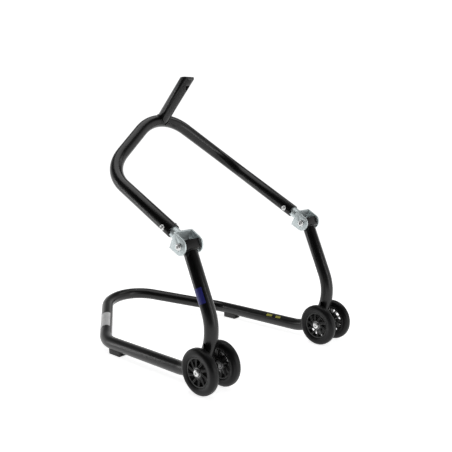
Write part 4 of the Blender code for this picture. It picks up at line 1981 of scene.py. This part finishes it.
@dataclass
class Studio:
    """A pale floor, soft lamps, a white surround and the camera.

    Attributes:
        layout: the stand's main lines.
        azimuth: the camera's bearing.
        elevation: its height over the horizon.
        roll: how far it leans.
        lens: its focal length in millimetres.
        shift: how far its frame is shifted.
        place: its place, measured from the axle.
        floor_radius: the floor's radius.
        floor_glow: how strongly the floor glows.
        surround: how bright the surround looks from the camera.
        behind: the direction behind the stand.
    """

    layout: Layout
    azimuth: float = math.radians(-46.436)
    elevation: float = math.radians(9.316)
    roll: float = math.radians(-1.731)
    lens: float = 48.23
    shift: tuple[float, float] = (-0.0513, 0.0255)
    place: tuple[float, float, float] = (-1.1030, -0.9729, 0.5666)
    floor_radius: float = 1.25
    floor_glow: float = 0.84
    surround: float = 1.1
    behind: tuple[float, float, float] = (-0.968, -0.251, 0.0)

    def build(self) -> None:
        """Builds the whole studio."""
        self.lay_floor()
        self.light_surround()
        self.hang_lamps()
        self.stand_camera()
        bpy.context.scene.view_settings.view_transform = "Standard"

    def lay_floor(self) -> None:
        """Lays the pale round floor."""
        bpy.ops.object.select_all(action="DESELECT")
        bpy.ops.mesh.primitive_circle_add(
            vertices=128, radius=self.floor_radius, fill_type="NGON", location=(0, 0, 0)
        )
        floor = named("studio_floor")
        made = bpy.data.materials.new("pale_floor")
        made.use_nodes = True
        shader = made.node_tree.nodes["Principled BSDF"]
        shader.inputs["Base Color"].default_value = (0.90, 0.90, 0.90, 1.0)
        shader.inputs["Roughness"].default_value = 0.9
        shader.inputs["Specular IOR Level"].default_value = 0.0
        shader.inputs["Emission Color"].default_value = (1.0, 1.0, 1.0, 1.0)
        shader.inputs["Emission Strength"].default_value = self.floor_glow
        floor.data.materials.append(made)

    def light_surround(self) -> None:
        """Makes the surround bright low down behind the stand, and dark above and in front."""
        world = bpy.data.worlds.new("studio_surround")
        bpy.context.scene.world = world
        world.use_nodes = True
        tree = world.node_tree
        background = tree.nodes["Background"]
        background.inputs["Color"].default_value = (1.0, 1.0, 1.0, 1.0)
        place = tree.nodes.new("ShaderNodeTexCoord").outputs["Generated"]
        around = self.fade(tree, place, Vector(self.behind), (0.25, 0.62), (1.0, 0.02))
        above = self.fade(tree, place, Vector((0.0, 0.0, 1.0)), (0.18, 0.64), (1.0, 0.08))
        both = tree.nodes.new("ShaderNodeMath")
        both.operation = "MULTIPLY"
        tree.links.new(around, both.inputs[0])
        tree.links.new(above, both.inputs[1])
        seen = tree.nodes.new("ShaderNodeLightPath").outputs["Is Camera Ray"]
        mix = tree.nodes.new("ShaderNodeMix")
        tree.links.new(seen, mix.inputs["Factor"])
        tree.links.new(both.outputs["Value"], mix.inputs["A"])
        mix.inputs["B"].default_value = self.surround
        tree.links.new(mix.outputs["Result"], background.inputs["Strength"])

    def fade(
        self,
        tree: bpy.types.NodeTree,
        place: bpy.types.NodeSocket,
        direction: Vector,
        span: tuple[float, float],
        values: tuple[float, float],
    ) -> bpy.types.NodeSocket:
        """Fades the surround's light towards a direction.

        Args:
            tree: the surround's nodes.
            place: the direction looked in.
            direction: the direction of the fade.
            span: where the fade starts and ends, as cosines.
            values: the light before and after it.

        Returns:
            The light's socket.
        """
        along = tree.nodes.new("ShaderNodeVectorMath")
        along.operation = "DOT_PRODUCT"
        along.inputs[1].default_value = direction
        tree.links.new(place, along.inputs[0])
        ramp = tree.nodes.new("ShaderNodeMapRange")
        ramp.interpolation_type = "SMOOTHSTEP"
        ramp.inputs["From Min"].default_value, ramp.inputs["From Max"].default_value = span
        ramp.inputs["To Min"].default_value, ramp.inputs["To Max"].default_value = values
        tree.links.new(along.outputs["Value"], ramp.inputs["Value"])
        return ramp.outputs["Result"]

    def hang_lamps(self) -> None:
        """Hangs the soft boxes."""
        for lamp in LAMPS:
            lamp.hang()

    def stand_camera(self) -> None:
        """Stands the camera up and makes it the scene's own."""
        data = bpy.data.cameras.new("camera")
        data.lens = self.lens
        data.sensor_width = 36.0
        data.shift_x, data.shift_y = self.shift
        camera = bpy.data.objects.new("camera", data)
        turn_up = math.pi / 2 - self.elevation
        pose = Matrix.Rotation(self.azimuth, 4, "Z") @ Matrix.Rotation(turn_up, 4, "X")
        pose = pose @ Matrix.Rotation(self.roll, 4, "Z")
        camera.matrix_world = Matrix.Translation(self.layout.spot(*self.place)) @ pose
        bpy.context.scene.collection.objects.link(camera)
        bpy.context.scene.camera = camera


def main() -> None:
    """Builds the stand round its fixed frame, and the studio round the stand."""
    logging.basicConfig(level=logging.INFO, format="%(name)s: %(message)s")
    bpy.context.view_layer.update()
    layout = layout_from_frame()
    palette = Palette()
    Studio(layout).build()
    loops = TubeLoops(layout, palette)
    wheels = Wheels(layout, palette)
    assemblies = (
        loops,
        LiftPost(layout, palette, loops),
        FoldingJoint(layout, palette),
        Stems(layout, palette),
        wheels,
        Axles(layout, palette, wheels),
        Feet(layout, palette, loops),
    )
    for assembly in assemblies:
        assembly.build()
        LOG.info("%s: %d pieces", type(assembly).__name__, assembly.count)


if __name__ == "__main__":
    main()
